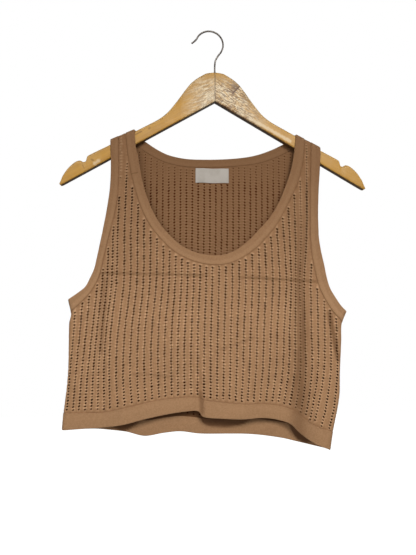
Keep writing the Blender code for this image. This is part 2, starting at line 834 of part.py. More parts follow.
def arm_ring(hand, out, top, bottom):
    """The rounded outline of an arm where it is cut across, a distance out from the joint."""
    ring = []
    x = HANGER_CENTRE_X + hand * out
    for side_y, side_z, rounding in (
        (1, 1, ARM_TOP_ROUNDING),
        (-1, 1, ARM_TOP_ROUNDING),
        (-1, -1, ARM_BOTTOM_ROUNDING),
        (1, -1, ARM_BOTTOM_ROUNDING),
    ):
        reach_z = min(rounding / math.cos(ARM_SLOPE), ROUNDING_SHARE * (top - bottom))
        reach_y = min(rounding, ROUNDING_SPREAD * reach_z)
        edge_z = top if side_z > 0 else bottom
        for i in range(CORNER_POINTS):
            turn = 0.5 * math.pi * i / (CORNER_POINTS - 1)
            if side_y * side_z < 0:
                turn = 0.5 * math.pi - turn
            y = ARM_HALF_THICKNESS - reach_y * (1.0 - math.cos(turn))
            z = edge_z - side_z * reach_z * (1.0 - math.sin(turn))
            ring.append(Vector((x, side_y * y, z)))
    return ring


def build_hanger_arm(name, hand, bore):
    """One arm of the hanger, from the centre joint to its tip, with half the hook's bore."""
    rings = []
    for out, top, rise in thinned_arm(smooth_path(ARM_TOP)):
        bottom = ARM_APEX_Z - math.tan(ARM_SLOPE) * out + rise
        rings.append(arm_ring(hand, out, top, bottom))
    mesh = mesh_of(name, *loft(rings, closed=False))
    finish(mesh, WOOD_COLOUR, WOOD_ROUGHNESS)
    cut = link(mesh).modifiers.new("hook_bore", "BOOLEAN")
    cut.operation = "DIFFERENCE"
    cut.object = bore


def thinned_arm(path):
    """The arm's path at its own spacing, closer where the top edge turns at the notch and tip."""
    kept, last = [path[0]], path[-1]
    for point in path[1:-1]:
        spacing = HANGER_STEP if point[0] < TIP_START else TIP_STEP
        if math.dist(point, kept[-1]) >= spacing and last[0] - point[0] > TIP_END_SPACING:
            kept.append(point)
    return [*kept, last]


def build_bore():
    """The cutter that makes room for the hook's stem between the two arms."""
    mesh = bpy.data.meshes.new("hook_bore_cutter")
    shape = bmesh.new()
    bmesh.ops.create_cone(
        shape,
        cap_ends=True,
        segments=BORE_SIDES,
        radius1=HOOK_BORE_RADIUS,
        radius2=HOOK_BORE_RADIUS,
        depth=BORE_DEPTH,
    )
    shape.to_mesh(mesh)
    shape.free()
    cutter = link(mesh)
    cutter.location = (HANGER_CENTRE_X, 0.0, BORE_END_Z + 0.5 * BORE_DEPTH)
    cutter.hide_render = True
    cutter.display_type = "WIRE"
    return cutter


def hook_points():
    """The wire's middle line, from its tip round the bend and down into the hanger."""
    centre_x, centre_z = HOOK_BEND_CENTRE
    first, last = (math.radians(angle) for angle in HOOK_BEND_ANGLES)
    bend = []
    for i in range(HOOK_BEND_POINTS):
        angle = first + (last - first) * i / (HOOK_BEND_POINTS - 1)
        x = centre_x + HOOK_BEND_RADIUS * math.cos(angle)
        bend.append((x, centre_z + HOOK_BEND_RADIUS * math.sin(angle)))
    straight = [(HANGER_CENTRE_X, z) for z in (HOOK_STEM_STRAIGHT_Z, HOOK_END_Z)]
    path = smooth_path([*HOOK_TIP, *bend, *HOOK_STEM, *straight])
    return [path[0], *path[HOOK_THINNING:-HOOK_THINNING:HOOK_THINNING], path[-1]]


def build_hook():
    """The steel wire hook."""
    curve = bpy.data.curves.new("hook", "CURVE")
    curve.dimensions = "3D"
    curve.bevel_depth = HOOK_WIRE_RADIUS
    curve.bevel_resolution = 2
    curve.use_fill_caps = True
    route = hook_points()
    spline = curve.splines.new("POLY")
    spline.points.add(len(route) - 1)
    for point, (x, z) in zip(spline.points, route):
        point.co = (x, 0.0, z, 1.0)
    finish(curve, STEEL_COLOUR, STEEL_ROUGHNESS, metallic=1.0)
    link(curve)


def main():
    """Clear the scene and build every piece."""
    for old in list(bpy.data.objects):
        bpy.data.objects.remove(old, do_unlink=True)
    build_panel("front_panel", FRONT)
    build_panel("back_panel", BACK)
    build_neckband()
    build_armhole_band("armhole_band_left", LEFT)
    build_armhole_band("armhole_band_right", RIGHT)
    build_hem_band("hem_band_front", FRONT)
    build_hem_band("hem_band_back", BACK)
    build_label()
    bore = build_bore()
    build_hanger_arm("hanger_arm_left", LEFT, bore)
    build_hanger_arm("hanger_arm_right", RIGHT, bore)
    build_hook()


main()
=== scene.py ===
"""Looks of an open-knit tank top on its wooden hanger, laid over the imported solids.

Metres, +Z up, -Y towards the viewer. The origin is the underside of the hook's bend. The
cloth is drawn on a flat pattern, x across and z up as seen from the front, and
HangingCloth.place() lays that pattern in space, as the solids do.
"""

import logging
import math
from dataclasses import dataclass
from enum import Enum

import bmesh
import bpy
import numpy as np
from mathutils import Matrix, Vector
from mathutils.geometry import delaunay_2d_cdt
from mathutils.kdtree import KDTree


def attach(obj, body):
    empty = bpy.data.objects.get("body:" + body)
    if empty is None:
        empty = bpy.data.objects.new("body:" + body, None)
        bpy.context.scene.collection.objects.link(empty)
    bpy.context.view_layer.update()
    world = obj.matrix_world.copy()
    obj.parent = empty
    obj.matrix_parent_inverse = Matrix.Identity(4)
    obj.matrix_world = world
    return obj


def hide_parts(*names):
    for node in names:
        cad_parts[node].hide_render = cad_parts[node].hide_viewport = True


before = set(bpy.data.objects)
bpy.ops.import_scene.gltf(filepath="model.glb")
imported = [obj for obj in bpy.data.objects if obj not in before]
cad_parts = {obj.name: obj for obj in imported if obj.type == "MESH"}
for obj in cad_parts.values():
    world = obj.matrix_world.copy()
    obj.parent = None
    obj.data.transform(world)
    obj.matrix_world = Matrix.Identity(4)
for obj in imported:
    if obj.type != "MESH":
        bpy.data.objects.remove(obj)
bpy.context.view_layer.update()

log = logging.getLogger("tank_top")


class Side(Enum):
    """Front or back of the garment. The value is the sign of Y."""

    FRONT = -1
    BACK = 1


class Hand(Enum):
    """Left or right as the viewer sees it. The value is the sign of X."""

    LEFT = -1
    RIGHT = 1


@dataclass(frozen=True)
class Curve:
    """A smooth curve through stations, each a pair of where and value."""

    rows: tuple[tuple[float, float], ...]

    def __call__(self, where: np.ndarray) -> np.ndarray:
        """Read the curve.

        Args:
            where: Places along it. Beyond its ends it keeps its end values.

        Returns:
            The value at each place.
        """
        at, value = np.array(self.rows, float).T
        where = np.clip(np.asarray(where, float), at[0], at[-1])
        index = np.clip(np.searchsorted(at, where, side="left") - 1, 0, len(at) - 2)
        slope = np.empty_like(value)
        slope[1:-1] = (value[2:] - value[:-2]) / (at[2:] - at[:-2])
        slope[0] = (value[1] - value[0]) / (at[1] - at[0])
        slope[-1] = (value[-1] - value[-2]) / (at[-1] - at[-2])
        length = at[index + 1] - at[index]
        t = (where - at[index]) / length
        return (
            (2 * t**3 - 3 * t**2 + 1) * value[index]
            + (t**3 - 2 * t**2 + t) * length * slope[index]
            + (3 * t**2 - 2 * t**3) * value[index + 1]
            + (t**3 - t**2) * length * slope[index + 1]
        )


@dataclass(frozen=True)
class Fold:
    """A soft trough on the pattern, or a ridge where the depth is negative."""

    top_x: float
    top_z: float
    bottom_x: float
    bottom_z: float
    width: float
    depth: float

    def draw_in(self, x: np.ndarray, z: np.ndarray) -> np.ndarray:
        """How far the fold draws the cloth in.

        Args:
            x: Pattern x of each place.
            z: Pattern z of each place.

        Returns:
            The distance towards the middle plane at each place.
        """
        run_x, run_z = self.bottom_x - self.top_x, self.bottom_z - self.top_z
        length = math.hypot(run_x, run_z)
        along = ((x - self.top_x) * run_x + (z - self.top_z) * run_z) / length**2
        across = np.abs((x - self.top_x) * run_z - (z - self.top_z) * run_x) / length
        ends = smooth(4.0 * np.minimum(along, 1.0 - along))
        return self.depth * ends * smooth(1.0 - 2.0 * across / self.width)


def smooth(value: np.ndarray) -> np.ndarray:
    """0 below 0, 1 above 1, and an even ease between."""
    value = np.clip(value, 0.0, 1.0)
    return value * value * (3.0 - 2.0 * value)


# Cloth over the hanger and round the side seams, as in the solids
STRAP_HALF_GAP = 0.0077
STRAP_BEND = 0.0057
STRAP_BEND_RISE = STRAP_BEND / math.cos(math.radians(30.0))
STRAP_BEND_LENGTH = 0.5 * math.pi * 0.5 * (STRAP_BEND + STRAP_BEND_RISE)
STRAP_TOP_LENGTH = STRAP_HALF_GAP - STRAP_BEND
SIDE_TURN = 0.0050
SIDE_TURN_LENGTH = 0.5 * math.pi * SIDE_TURN
SIDE_STRETCH = SIDE_TURN_LENGTH - SIDE_TURN
UNDERARM_SPREAD = 1.5
SEAM_GAP = 0.0003

# x, z of each shoulder's ridge, cloth middle
SHOULDER_RIDGE = Curve(
    (
        (-0.1750, -0.1820), (-0.1434, -0.1672), (-0.1090, -0.1513), (-0.0750, -0.1357),
        (0.0950, -0.1362), (0.1288, -0.1537), (0.1651, -0.1725), (0.2000, -0.1905),
    )
)

# z, x of each side seam, from the hem's corner up to the tip under the arm
SIDE_SEAM = {
    Hand.LEFT: (
        (-0.5810, -0.2060), (-0.5565, -0.2040), (-0.5233, -0.2002), (-0.4930, -0.1983),
        (-0.4320, -0.1983), (-0.4180, -0.1956), (-0.3995, -0.1996),
    ),
    Hand.RIGHT: (
        (-0.6147, 0.1747), (-0.5880, 0.1790), (-0.5577, 0.1856), (-0.5330, 0.1896), (-0.5033, 0.1903),
        (-0.4576, 0.1933), (-0.4324, 0.1942), (-0.4164, 0.2004),
    ),
}

# Bands: free_x, free_z, seam_x, seam_z of each cut across
NECKBAND = {
    Side.FRONT: (
        (-0.1068, -0.1740, -0.1197, -0.1755),
        (-0.1025, -0.1940, -0.1166, -0.1985),
        (-0.0975, -0.2220, -0.1109, -0.2262),
        (-0.0914, -0.2456, -0.1042, -0.2503),
        (-0.0840, -0.2654, -0.0965, -0.2712),
        (-0.0723, -0.2870, -0.0838, -0.2945),
        (-0.0592, -0.3033, -0.0690, -0.3125),
        (-0.0442, -0.3175, -0.0520, -0.3285),
        (-0.0300, -0.3260, -0.0355, -0.3382),
        (-0.0130, -0.3320, -0.0160, -0.3455),
        (0.0060, -0.3345, 0.0070, -0.3487),
        (0.0250, -0.3320, 0.0295, -0.3460),
        (0.0430, -0.3235, 0.0500, -0.3365),
        (0.0584, -0.3108, 0.0691, -0.3225),
        (0.0738, -0.2946, 0.0848, -0.3062),
        (0.0886, -0.2776, 0.0998, -0.2870),
        (0.1032, -0.2524, 0.1155, -0.2583),
        (0.1111, -0.2331, 0.1249, -0.2390),
        (0.1176, -0.2152, 0.1325, -0.2195),
        (0.1222, -0.1972, 0.1376, -0.1995),
        (0.1254, -0.1778, 0.1406, -0.1785),
    ),
    Side.BACK: (
        (-0.1015, -0.1585, -0.1120, -0.1670),
        (-0.0890, -0.1683, -0.0975, -0.1785),
        (-0.0741, -0.1778, -0.0810, -0.1885),
        (-0.0580, -0.1850, -0.0622, -0.1968),
        (-0.0341, -0.1898, -0.0360, -0.2020),
        (-0.0050, -0.1905, -0.0050, -0.2028),
        (0.0266, -0.1892, 0.0272, -0.2015),
        (0.0537, -0.1862, 0.0558, -0.1984),
        (0.0719, -0.1823, 0.0756, -0.1950),
        (0.0903, -0.1758, 0.0955, -0.1882),
        (0.1077, -0.1675, 0.1145, -0.1795),
        (0.1205, -0.1600, 0.1302, -0.1695),
    ),
}
NECK_SHOULDER = {Hand.LEFT: (-0.1085, -0.1215), Hand.RIGHT: (0.1288, 0.1415)}
ARMHOLE_SHOULDER = {Hand.LEFT: (-0.1434, -0.1308), Hand.RIGHT: (0.1651, 0.1500)}
UNDERARM = {Hand.LEFT: (-0.3995, -0.4180), Hand.RIGHT: (-0.4164, -0.4324)}
ARMHOLE_BAND = {
    Hand.LEFT: (
        (-0.1419, -0.2062, -0.1302, -0.2050),
        (-0.1431, -0.2397, -0.1306, -0.2396),
        (-0.1476, -0.2728, -0.1351, -0.2755),
        (-0.1537, -0.3060, -0.1430, -0.3083),
        (-0.1598, -0.3356, -0.1497, -0.3376),
        (-0.1638, -0.3536, -0.1540, -0.3570),
        (-0.1695, -0.3668, -0.1585, -0.3705),
        (-0.1760, -0.3795, -0.1664, -0.3850),
        (-0.1865, -0.3885, -0.1768, -0.3978),
    ),
    Hand.RIGHT: (
        (0.1635, -0.2040, 0.1490, -0.2040),
        (0.1613, -0.2353, 0.1479, -0.2360),
        (0.1600, -0.2691, 0.1474, -0.2695),
        (0.1605, -0.3030, 0.1474, -0.3034),
        (0.1628, -0.3220, 0.1488, -0.3250),
        (0.1677, -0.3440, 0.1526, -0.3490),
        (0.1724, -0.3665, 0.1590, -0.3745),
        (0.1775, -0.3818, 0.1650, -0.3900),
        (0.1854, -0.3950, 0.1735, -0.4045),
        (0.1933, -0.4065, 0.1830, -0.4180),
    ),
}
HEM_CORNER = {Hand.LEFT: (-0.5810, -0.5565), Hand.RIGHT: (-0.6147, -0.5880)}
HEM_BAND = {
    Side.FRONT: (
        (-0.1780, -0.5792, -0.1760, -0.5560),
        (-0.1530, -0.5777, -0.1500, -0.5558),
        (-0.1300, -0.5748, -0.1263, -0.5505),
        (-0.0945, -0.5673, -0.0917, -0.5434),
        (-0.0640, -0.5610, -0.0640, -0.5385),
        (-0.0350, -0.5568, -0.0360, -0.5360),
        (-0.0160, -0.5562, -0.0195, -0.5358),
        (-0.0085, -0.5635, -0.0050, -0.5392),
        (0.0190, -0.5660, 0.0186, -0.5422),
        (0.0494, -0.5676, 0.0495, -0.5456),
        (0.0800, -0.5670, 0.0806, -0.5459),
        (0.1030, -0.5708, 0.1041, -0.5493),
        (0.1170, -0.5762, 0.1180, -0.5539),
        (0.1262, -0.5855, 0.1274, -0.5603),
        (0.1380, -0.5950, 0.1399, -0.5703),
        (0.1555, -0.6062, 0.1590, -0.5806),
    ),
    Side.BACK: (
        (-0.1800, -0.5808, -0.1790, -0.5572),
        (-0.1550, -0.5812, -0.1540, -0.5582),
        (-0.1182, -0.5863, -0.1180, -0.5632),
        (-0.0920, -0.5930, -0.0920, -0.5695),
        (-0.0643, -0.5886, -0.0640, -0.5660),
        (-0.0409, -0.5865, -0.0409, -0.5640),
        (-0.0112, -0.5901, -0.0112, -0.5670),
        (0.0300, -0.5911, 0.0300, -0.5680),
        (0.0640, -0.5922, 0.0650, -0.5690),
        (0.1065, -0.5979, 0.1072, -0.5745),
        (0.1310, -0.6037, 0.1330, -0.5795),
        (0.1550, -0.6095, 0.1580, -0.5840),
    ),
}

# Half the distance between front and back: z, beside the side seams, in the middle
BODY_GAP = {
    Side.FRONT: (
        (-0.6200, 0.0050, 0.0130), (-0.4500, 0.0050, 0.0130), (-0.3800, 0.0060, 0.0118),
        (-0.3000, 0.0080, 0.0095), (-0.2300, 0.0077, 0.0077), (-0.2000, 0.0077, 0.0077),
        (-0.1400, 0.0077, 0.0077),
    ),
    Side.BACK: (
        (-0.6200, 0.0050, 0.0090), (-0.4500, 0.0050, 0.0095), (-0.3800, 0.0060, 0.0095),
        (-0.3000, 0.0078, 0.0088), (-0.2300, 0.0077, 0.0077), (-0.2000, 0.0077, 0.0077),
        (-0.1400, 0.0077, 0.0077),
    ),
}
# z, left x, right x of the lines along which the cloth steps forward to the middle
STEP_LINES = {
    Side.FRONT: (
        (-0.6200, -0.1575, 0.1262), (-0.5524, -0.1574, 0.1276), (-0.4844, -0.1554, 0.1300),
        (-0.4470, -0.1488, 0.1335), (-0.3705, -0.1433, 0.1288), (-0.3300, -0.1436, 0.1322),
    ),
    Side.BACK: (
        (-0.6200, -0.1480, 0.1330), (-0.4700, -0.1420, 0.1380), (-0.3300, -0.1300, 0.1300),
    ),
}
STEP_WIDTH = {Side.FRONT: (0.034, 0.017), Side.BACK: (0.032, 0.032)}
# x, half gap at the hem
HEM_GAP = {
    Side.FRONT: Curve(
        (
            (-0.2036, 0.0045), (-0.1530, 0.0050), (-0.1360, 0.0088), (-0.1210, 0.0125),
            (-0.1070, 0.0108), (-0.0880, 0.0066), (-0.0280, 0.0060), (-0.0160, 0.0072),
            (-0.0070, 0.0125), (0.0220, 0.0136), (0.0480, 0.0118), (0.0700, 0.0072), (0.1100, 0.0070),
            (0.1270, 0.0120), (0.1410, 0.0106), (0.1560, 0.0056), (0.1750, 0.0045),
        )
    ),
    Side.BACK: Curve(
        (
            (-0.2036, 0.0045), (-0.1500, 0.0055), (-0.1180, 0.0092), (-0.0900, 0.0102),
            (-0.0600, 0.0078), (-0.0100, 0.0064), (0.0350, 0.0086), (0.0850, 0.0074), (0.1300, 0.0064),
            (0.1750, 0.0045),
        )
    ),
}
HEM_WAVE_TOP = -0.4500
HEM_WAVE_FULL = -0.5300

# The folds of the solids, then finer creases and ripples that only show up close
FOLDS = {
    Side.FRONT: (
        Fold(0.1735, -0.4160, 0.1885, -0.4880, 0.0130, 0.0022),
        Fold(-0.0134, -0.4900, -0.0105, -0.5700, 0.0120, 0.0028),
        Fold(-0.1800, -0.4120, -0.1860, -0.4700, 0.0140, 0.0014),
        Fold(-0.1470, -0.3400, -0.1530, -0.4900, 0.0150, 0.0016),
        Fold(-0.1600, -0.3610, -0.0950, -0.3625, 0.0060, 0.0010),
        Fold(-0.1080, -0.3620, -0.0100, -0.3632, 0.0060, 0.0009),
        Fold(0.0450, -0.3660, 0.1180, -0.3698, 0.0060, 0.0010),
        Fold(0.1060, -0.3690, 0.1740, -0.3722, 0.0060, 0.0011),
        Fold(-0.1060, -0.5020, -0.0520, -0.5070, 0.0060, 0.0008),
        Fold(0.0080, -0.4720, 0.0640, -0.4520, 0.0080, 0.0009),
        Fold(-0.1150, -0.4420, -0.0300, -0.4380, 0.0080, 0.0006),
        Fold(0.1760, -0.4120, 0.1900, -0.4230, 0.0040, 0.0009),
        Fold(0.1720, -0.4200, 0.1880, -0.4330, 0.0040, 0.0008),
        Fold(0.1700, -0.4300, 0.1850, -0.4440, 0.0044, 0.0006),
        Fold(-0.1850, -0.4100, -0.1650, -0.4040, 0.0046, 0.0006),
        Fold(-0.1300, -0.4000, -0.1380, -0.5000, 0.0120, 0.0006),
        Fold(-0.0560, -0.4200, -0.0640, -0.5300, 0.0160, -0.0006),
        Fold(0.0350, -0.4100, 0.0480, -0.5350, 0.0180, 0.0007),
        Fold(0.0850, -0.3900, 0.0900, -0.4900, 0.0150, -0.0006),
        Fold(0.1480, -0.4300, 0.1440, -0.5400, 0.0120, 0.0008),
    ),
    Side.BACK: (
        Fold(-0.0760, -0.3300, -0.0900, -0.5500, 0.0340, 0.0026),
        Fold(0.0620, -0.3500, 0.0700, -0.5600, 0.0300, 0.0022),
        Fold(0.1740, -0.4250, 0.1850, -0.5000, 0.0150, 0.0018),
        Fold(-0.1600, -0.3600, -0.0700, -0.3660, 0.0060, 0.0006),
        Fold(0.0200, -0.3640, 0.1300, -0.3700, 0.0060, 0.0006),
        Fold(-0.0500, -0.4900, 0.0400, -0.4960, 0.0060, 0.0004),
        Fold(-0.1320, -0.2300, -0.0850, -0.3050, 0.0120, 0.0006),
        Fold(0.1400, -0.2400, 0.0950, -0.3200, 0.0120, 0.0006),
        Fold(0.0050, -0.3900, 0.0100, -0.5400, 0.0200, -0.0007),
        Fold(-0.1750, -0.4150, -0.1550, -0.4500, 0.0080, 0.0008),
    ),
}

# Columns of eyelets: column numbers, then at each z the x of those columns
COLUMN_STATIONS = {
    Side.FRONT: (0, 3, 7, 8, 14, 22, 28, 33, 37, 40, 42),
    Side.BACK: (0, 8, 22, 36, 44),
}
COLUMN_LINES = {
    Side.FRONT: (
        (-0.600, -0.2025, -0.1770, -0.1385, -0.1290, -0.0700, 0.0020, 0.0540, 0.0910, 0.1190, 0.1440, 0.1690),
        (-0.585, -0.2020, -0.1765, -0.1385, -0.1290, -0.0700, 0.0020, 0.0540, 0.0930, 0.1225, 0.1480, 0.1731),
        (-0.550, -0.1995, -0.1745, -0.1395, -0.1286, -0.0705, 0.0015, 0.0540, 0.0985, 0.1320, 0.1575, 0.1812),
        (-0.500, -0.1960, -0.1713, -0.1410, -0.1313, -0.0728, 0.0015, 0.0570, 0.1054, 0.1390, 0.1668, 0.1865),
        (-0.441, -0.1915, -0.1655, -0.1388, -0.1287, -0.0723, 0.0021, 0.0587, 0.1070, 0.1391, 0.1683, 0.1858),
        (-0.373, -0.1880, -0.1590, -0.1320, -0.1215, -0.0666, 0.0040, 0.0620, 0.1112, 0.1385, 0.1680, 0.1860),
        (-0.300, -0.1850, -0.1560, -0.1310, -0.1215, -0.0660, 0.0040, 0.0610, 0.1080, 0.1425, 0.1720, 0.1910),
        (-0.200, -0.1800, -0.1520, -0.1275, -0.1188, -0.0660, 0.0035, 0.0590, 0.1040, 0.1433, 0.1740, 0.1930),
        (-0.140, -0.1800, -0.1520, -0.1275, -0.1188, -0.0660, 0.0035, 0.0590, 0.1040, 0.1433, 0.1740, 0.1930),
    ),
    Side.BACK: (
        (-0.600, -0.2005, -0.1290, -0.0055, 0.1120, 0.1660),
        (-0.550, -0.1985, -0.1275, -0.0035, 0.1195, 0.1800),
        (-0.480, -0.1945, -0.1235, -0.0010, 0.1225, 0.1885),
        (-0.420, -0.1925, -0.1210, 0.0000, 0.1215, 0.1900),
        (-0.300, -0.1900, -0.1200, 0.0020, 0.1220, 0.1920),
        (-0.140, -0.1880, -0.1190, 0.0020, 0.1225, 0.1930),
    ),
}


@dataclass(frozen=True)
class HangingCloth:
    """The form in which the cloth hangs: lays places of the flat pattern in space."""

    ripple: float = 0.00030
    strap_z: float = -0.215
    reach: float = 0.0004

    def side_x(self, hand: Hand, z: np.ndarray) -> np.ndarray:
        """Pattern x of a side seam. Above the underarm's tip it runs on outwards.

        Args:
            hand: Which side seam.
            z: Heights on the pattern.

        Returns:
            The seam's x at each height.
        """
        rows = SIDE_SEAM[hand]
        above_tip = np.maximum(z - rows[-1][0], 0.0)
        return Curve(rows)(z) + hand.value * (SIDE_STRETCH + UNDERARM_SPREAD * above_tip)

    def turn_z(self, x: np.ndarray) -> np.ndarray:
        """Height at which the cloth starts to bend over the hanger's arm."""
        return SHOULDER_RIDGE(x) - STRAP_BEND_RISE

    def ridge_z(self, x: np.ndarray) -> np.ndarray:
        """Pattern z of the shoulder seam, on the ridge of the arm."""
        return self.turn_z(x) + STRAP_BEND_LENGTH + STRAP_TOP_LENGTH

    def half_gap(self, x: np.ndarray, z: np.ndarray, side: Side) -> np.ndarray:
        """Distance of the cloth's middle from the plane between front and back.

        Args:
            x: Pattern x of each place.
            z: Pattern z of each place.
            side: Front or back.

        Returns:
            The distance at each place.
        """
        gap_rows, line_rows = np.array(BODY_GAP[side]), np.array(STEP_LINES[side])
        beside, middle = (Curve(tuple(gap_rows[:, (0, i)]))(z) for i in (1, 2))
        left_x, right_x = (Curve(tuple(line_rows[:, (0, i)]))(z) for i in (1, 2))
        left_width, right_width = STEP_WIDTH[side]
        step = smooth(0.5 + (x - left_x) / left_width) * smooth(0.5 + (right_x - x) / right_width)
        gap = beside + (middle - beside) * step
        wave = smooth((HEM_WAVE_TOP - z) / (HEM_WAVE_TOP - HEM_WAVE_FULL))
        gap = gap + wave * (HEM_GAP[side](x) - gap)
        for fold in FOLDS[side]:
            gap = gap - fold.draw_in(x, z)
        below_straps = smooth((self.strap_z - z) / 0.05)
        turns = 61.0 * x + 13.0 * np.sin(17.0 * z + side.value)
        waves = np.sin(turns) + 0.6 * np.sin(2.3 * turns + 31.0 * z)
        return gap + self.ripple * below_straps * waves

    def place(self, x: np.ndarray, z: np.ndarray, side: Side) -> np.ndarray:
        """Lay places of the pattern in space.

        Args:
            x: Pattern x of each place.
            z: Pattern z of each place.
            side: Front or back.

        Returns:
            One row of x, y, z for the cloth's middle at each place.
        """
        x, z = np.array(x, float), np.array(z, float)
        depth = self.half_gap(x, z, side)
        for hand in Hand:
            seam_x = self.side_x(hand, z)
            inside = hand.value * (seam_x - x)
            turning = inside < SIDE_TURN_LENGTH
            angle = np.where(turning, inside / SIDE_TURN, 0.5 * math.pi)
            turned = seam_x - hand.value * (SIDE_STRETCH + SIDE_TURN * (1.0 - np.cos(angle)))
            x = np.where(turning, turned, x)
            depth = depth * np.sin(angle)
        over = z - self.turn_z(x)
        angle = 0.5 * math.pi * np.clip(over / STRAP_BEND_LENGTH, 0.0, 1.0)
        past = np.maximum(over - STRAP_BEND_LENGTH, 0.0)
        bent_z = self.turn_z(x) + STRAP_BEND_RISE * np.sin(angle)
        depth = depth - STRAP_BEND * (1.0 - np.cos(angle)) - past
        z = np.where(over > 0.0, bent_z, z)
        return np.stack([x, side.value * depth, z], axis=-1)

    def normal(self, x: np.ndarray, z: np.ndarray, side: Side) -> np.ndarray:
        """Outward direction of the cloth at places of the pattern.

        Args:
            x: Pattern x of each place.
            z: Pattern z of each place.
            side: Front or back.

        Returns:
            One unit row of x, y, z for each place.
        """
        step = self.reach
        across = self.place(x + step, z, side) - self.place(x - step, z, side)
        up = self.place(x, z + step, side) - self.place(x, z - step, side)
        out = -side.value * np.cross(across, up)
        return out / np.linalg.norm(out, axis=-1, keepdims=True)


CLOTH = HangingCloth()


def along_path(points: list[tuple[float, ...]], step: float) -> np.ndarray:
    """Even points on the smooth curve through rows of coordinates.

    Args:
        points: Rows of coordinates, in order.
        step: Distance between the points that are returned.

    Returns:
        One row of coordinates for each point.
    """
    rows = np.array(points, float)
    runs = np.linalg.norm(np.diff(rows, axis=0), axis=1)
    places = np.concatenate([[0.0], np.cumsum(runs)])
    count = max(int(math.ceil(places[-1] / step)), 2)
    at = np.linspace(0.0, places[-1], count + 1)
    columns = [Curve(tuple(zip(places, column)))(at) for column in rows.T]
    return np.stack(columns, axis=-1)


def shoulder_row(ends: tuple[float, float]) -> tuple[float, ...]:
    """The cut across a band on the ridge of a shoulder."""
    free_x, seam_x = ends
    return (free_x, float(CLOTH.ridge_z(free_x)), seam_x, float(CLOTH.ridge_z(seam_x)))


def side_row(hand: Hand, heights: tuple[float, float]) -> tuple[float, ...]:
    """The cut across a band on a side seam."""
    free_z, seam_z = heights
    return (float(CLOTH.side_x(hand, free_z)), free_z, float(CLOTH.side_x(hand, seam_z)), seam_z)


def neckband_rows(side: Side, step: float) -> np.ndarray:
    """Cuts across the neckband on one side, from the left shoulder to the right."""
    left, right = (shoulder_row(NECK_SHOULDER[hand]) for hand in Hand)
    return along_path([left, *NECKBAND[side], right], step)


def armhole_rows(hand: Hand, step: float) -> np.ndarray:
    """Cuts across an armhole band, from the shoulder down to the underarm."""
    top, low = shoulder_row(ARMHOLE_SHOULDER[hand]), side_row(hand, UNDERARM[hand])
    return along_path([top, *ARMHOLE_BAND[hand], low], step)


def hem_rows(side: Side, step: float) -> np.ndarray:
    """Cuts across a hem band, from the left side seam to the right."""
    left, right = (side_row(hand, HEM_CORNER[hand]) for hand in Hand)
    return along_path([left, *HEM_BAND[side], right], step)


# z, then how wide or how dark the painted shade is where the front steps back on the right
STEP_SHADE_WIDTH = ((-0.60, 0.0125), (-0.45, 0.0105), (-0.30, 0.0080))
STEP_SHADE_DEPTH = ((-0.60, 0.85), (-0.52, 1.0), (-0.42, 0.80), (-0.30, 0.55), (-0.24, 0.0))


@dataclass(frozen=True)
class ClothShade:
    """Where little light reaches the cloth, by places of the flat pattern: masks for painted shade."""

    outline_step: float = 0.004
    flat_gap: float = 0.0068
    flat_reach: float = 0.0006
    lifted_reach: float = 0.0155
    flat_strength: float = 0.30
    lifted_strength: float = 0.70
    hem_edge: float = 0.0026
    neck_from: float = -0.018
    neck_run: float = 0.030
    dark_from: float = 0.002
    dark_run: float = 0.012
    darkest: float = 0.90

    def under_front_hem(self, x: np.ndarray, z: np.ndarray) -> np.ndarray:
        """How far the front hem hides places on the inside of the back from the light.

        Args:
            x: Pattern x of each place.
            z: Pattern z of each place.

        Returns:
            1 deep behind the front hem, 0 well below it and near the neck.
        """
        rows = hem_rows(Side.FRONT, self.outline_step)[:, :2]
        above = z - np.interp(x, rows[:, 0], rows[:, 1])
        lifted = np.clip((HEM_GAP[Side.FRONT](x) - self.flat_gap) / self.flat_gap, 0.0, 1.0)
        reach = self.flat_reach + self.lifted_reach * lifted
        strength = self.flat_strength + self.lifted_strength * smooth(2.0 * lifted)
        return strength * smooth((above + reach) / self.hem_edge) * smooth((-0.43 - z) / 0.05)

    def behind_front(self, x: np.ndarray, z: np.ndarray) -> np.ndarray:
        """How far places of the back lie behind the front, out of the neck's light.

        Args:
            x: Pattern x of each place.
            z: Pattern z of each place.

        Returns:
            The distance in metres from the front's neck edge, below 0 in the opening.
        """
        front, back = (neckband_rows(side, self.outline_step)[:: side.value, :2] for side in Side)
        opening = np.concatenate([front, back + (0.0, 0.03)])
        return -from_outline(np.stack([x, z], axis=-1), opening)

    def beside_neck(self, x: np.ndarray, z: np.ndarray) -> np.ndarray:
        """Shade on the inside of the back, from 0 in the neck's opening to 1 behind the front."""
        return smooth((self.behind_front(x, z) - self.neck_from) / self.neck_run)

    def inside_back(self, x: np.ndarray, z: np.ndarray) -> np.ndarray:
        """The deepest shade, between front and back. It ends short of the open hem."""
        behind = smooth((self.behind_front(x, z) - self.dark_from) / self.dark_run)
        return self.darkest * behind * (1.0 - 0.8 * smooth((-0.545 - z) / 0.02))

    def right_step(self, x: np.ndarray, z: np.ndarray) -> np.ndarray:
        """Painted shade on the front where it steps back towards the right side.

        Args:
            x: Pattern x of each place.
            z: Pattern z of each place.

        Returns:
            0 away from the step, up to 1 in its deepest part.
        """
        rows = np.array(STEP_LINES[Side.FRONT])
        line = np.interp(z, rows[:, 0], rows[:, 2])
        width = np.interp(z, *zip(*STEP_SHADE_WIDTH))
        depth = np.interp(z, *zip(*STEP_SHADE_DEPTH))
        return depth * np.exp(-(((x - line - 0.001) / width) ** 2))


SHADE = ClothShade()


# ---------------------------------------------------------------- finishes


Colour = tuple[float, float, float]


def rgba(colour: Colour) -> tuple[float, float, float, float]:
    """A linear colour with full opacity."""
    return (*colour, 1.0)


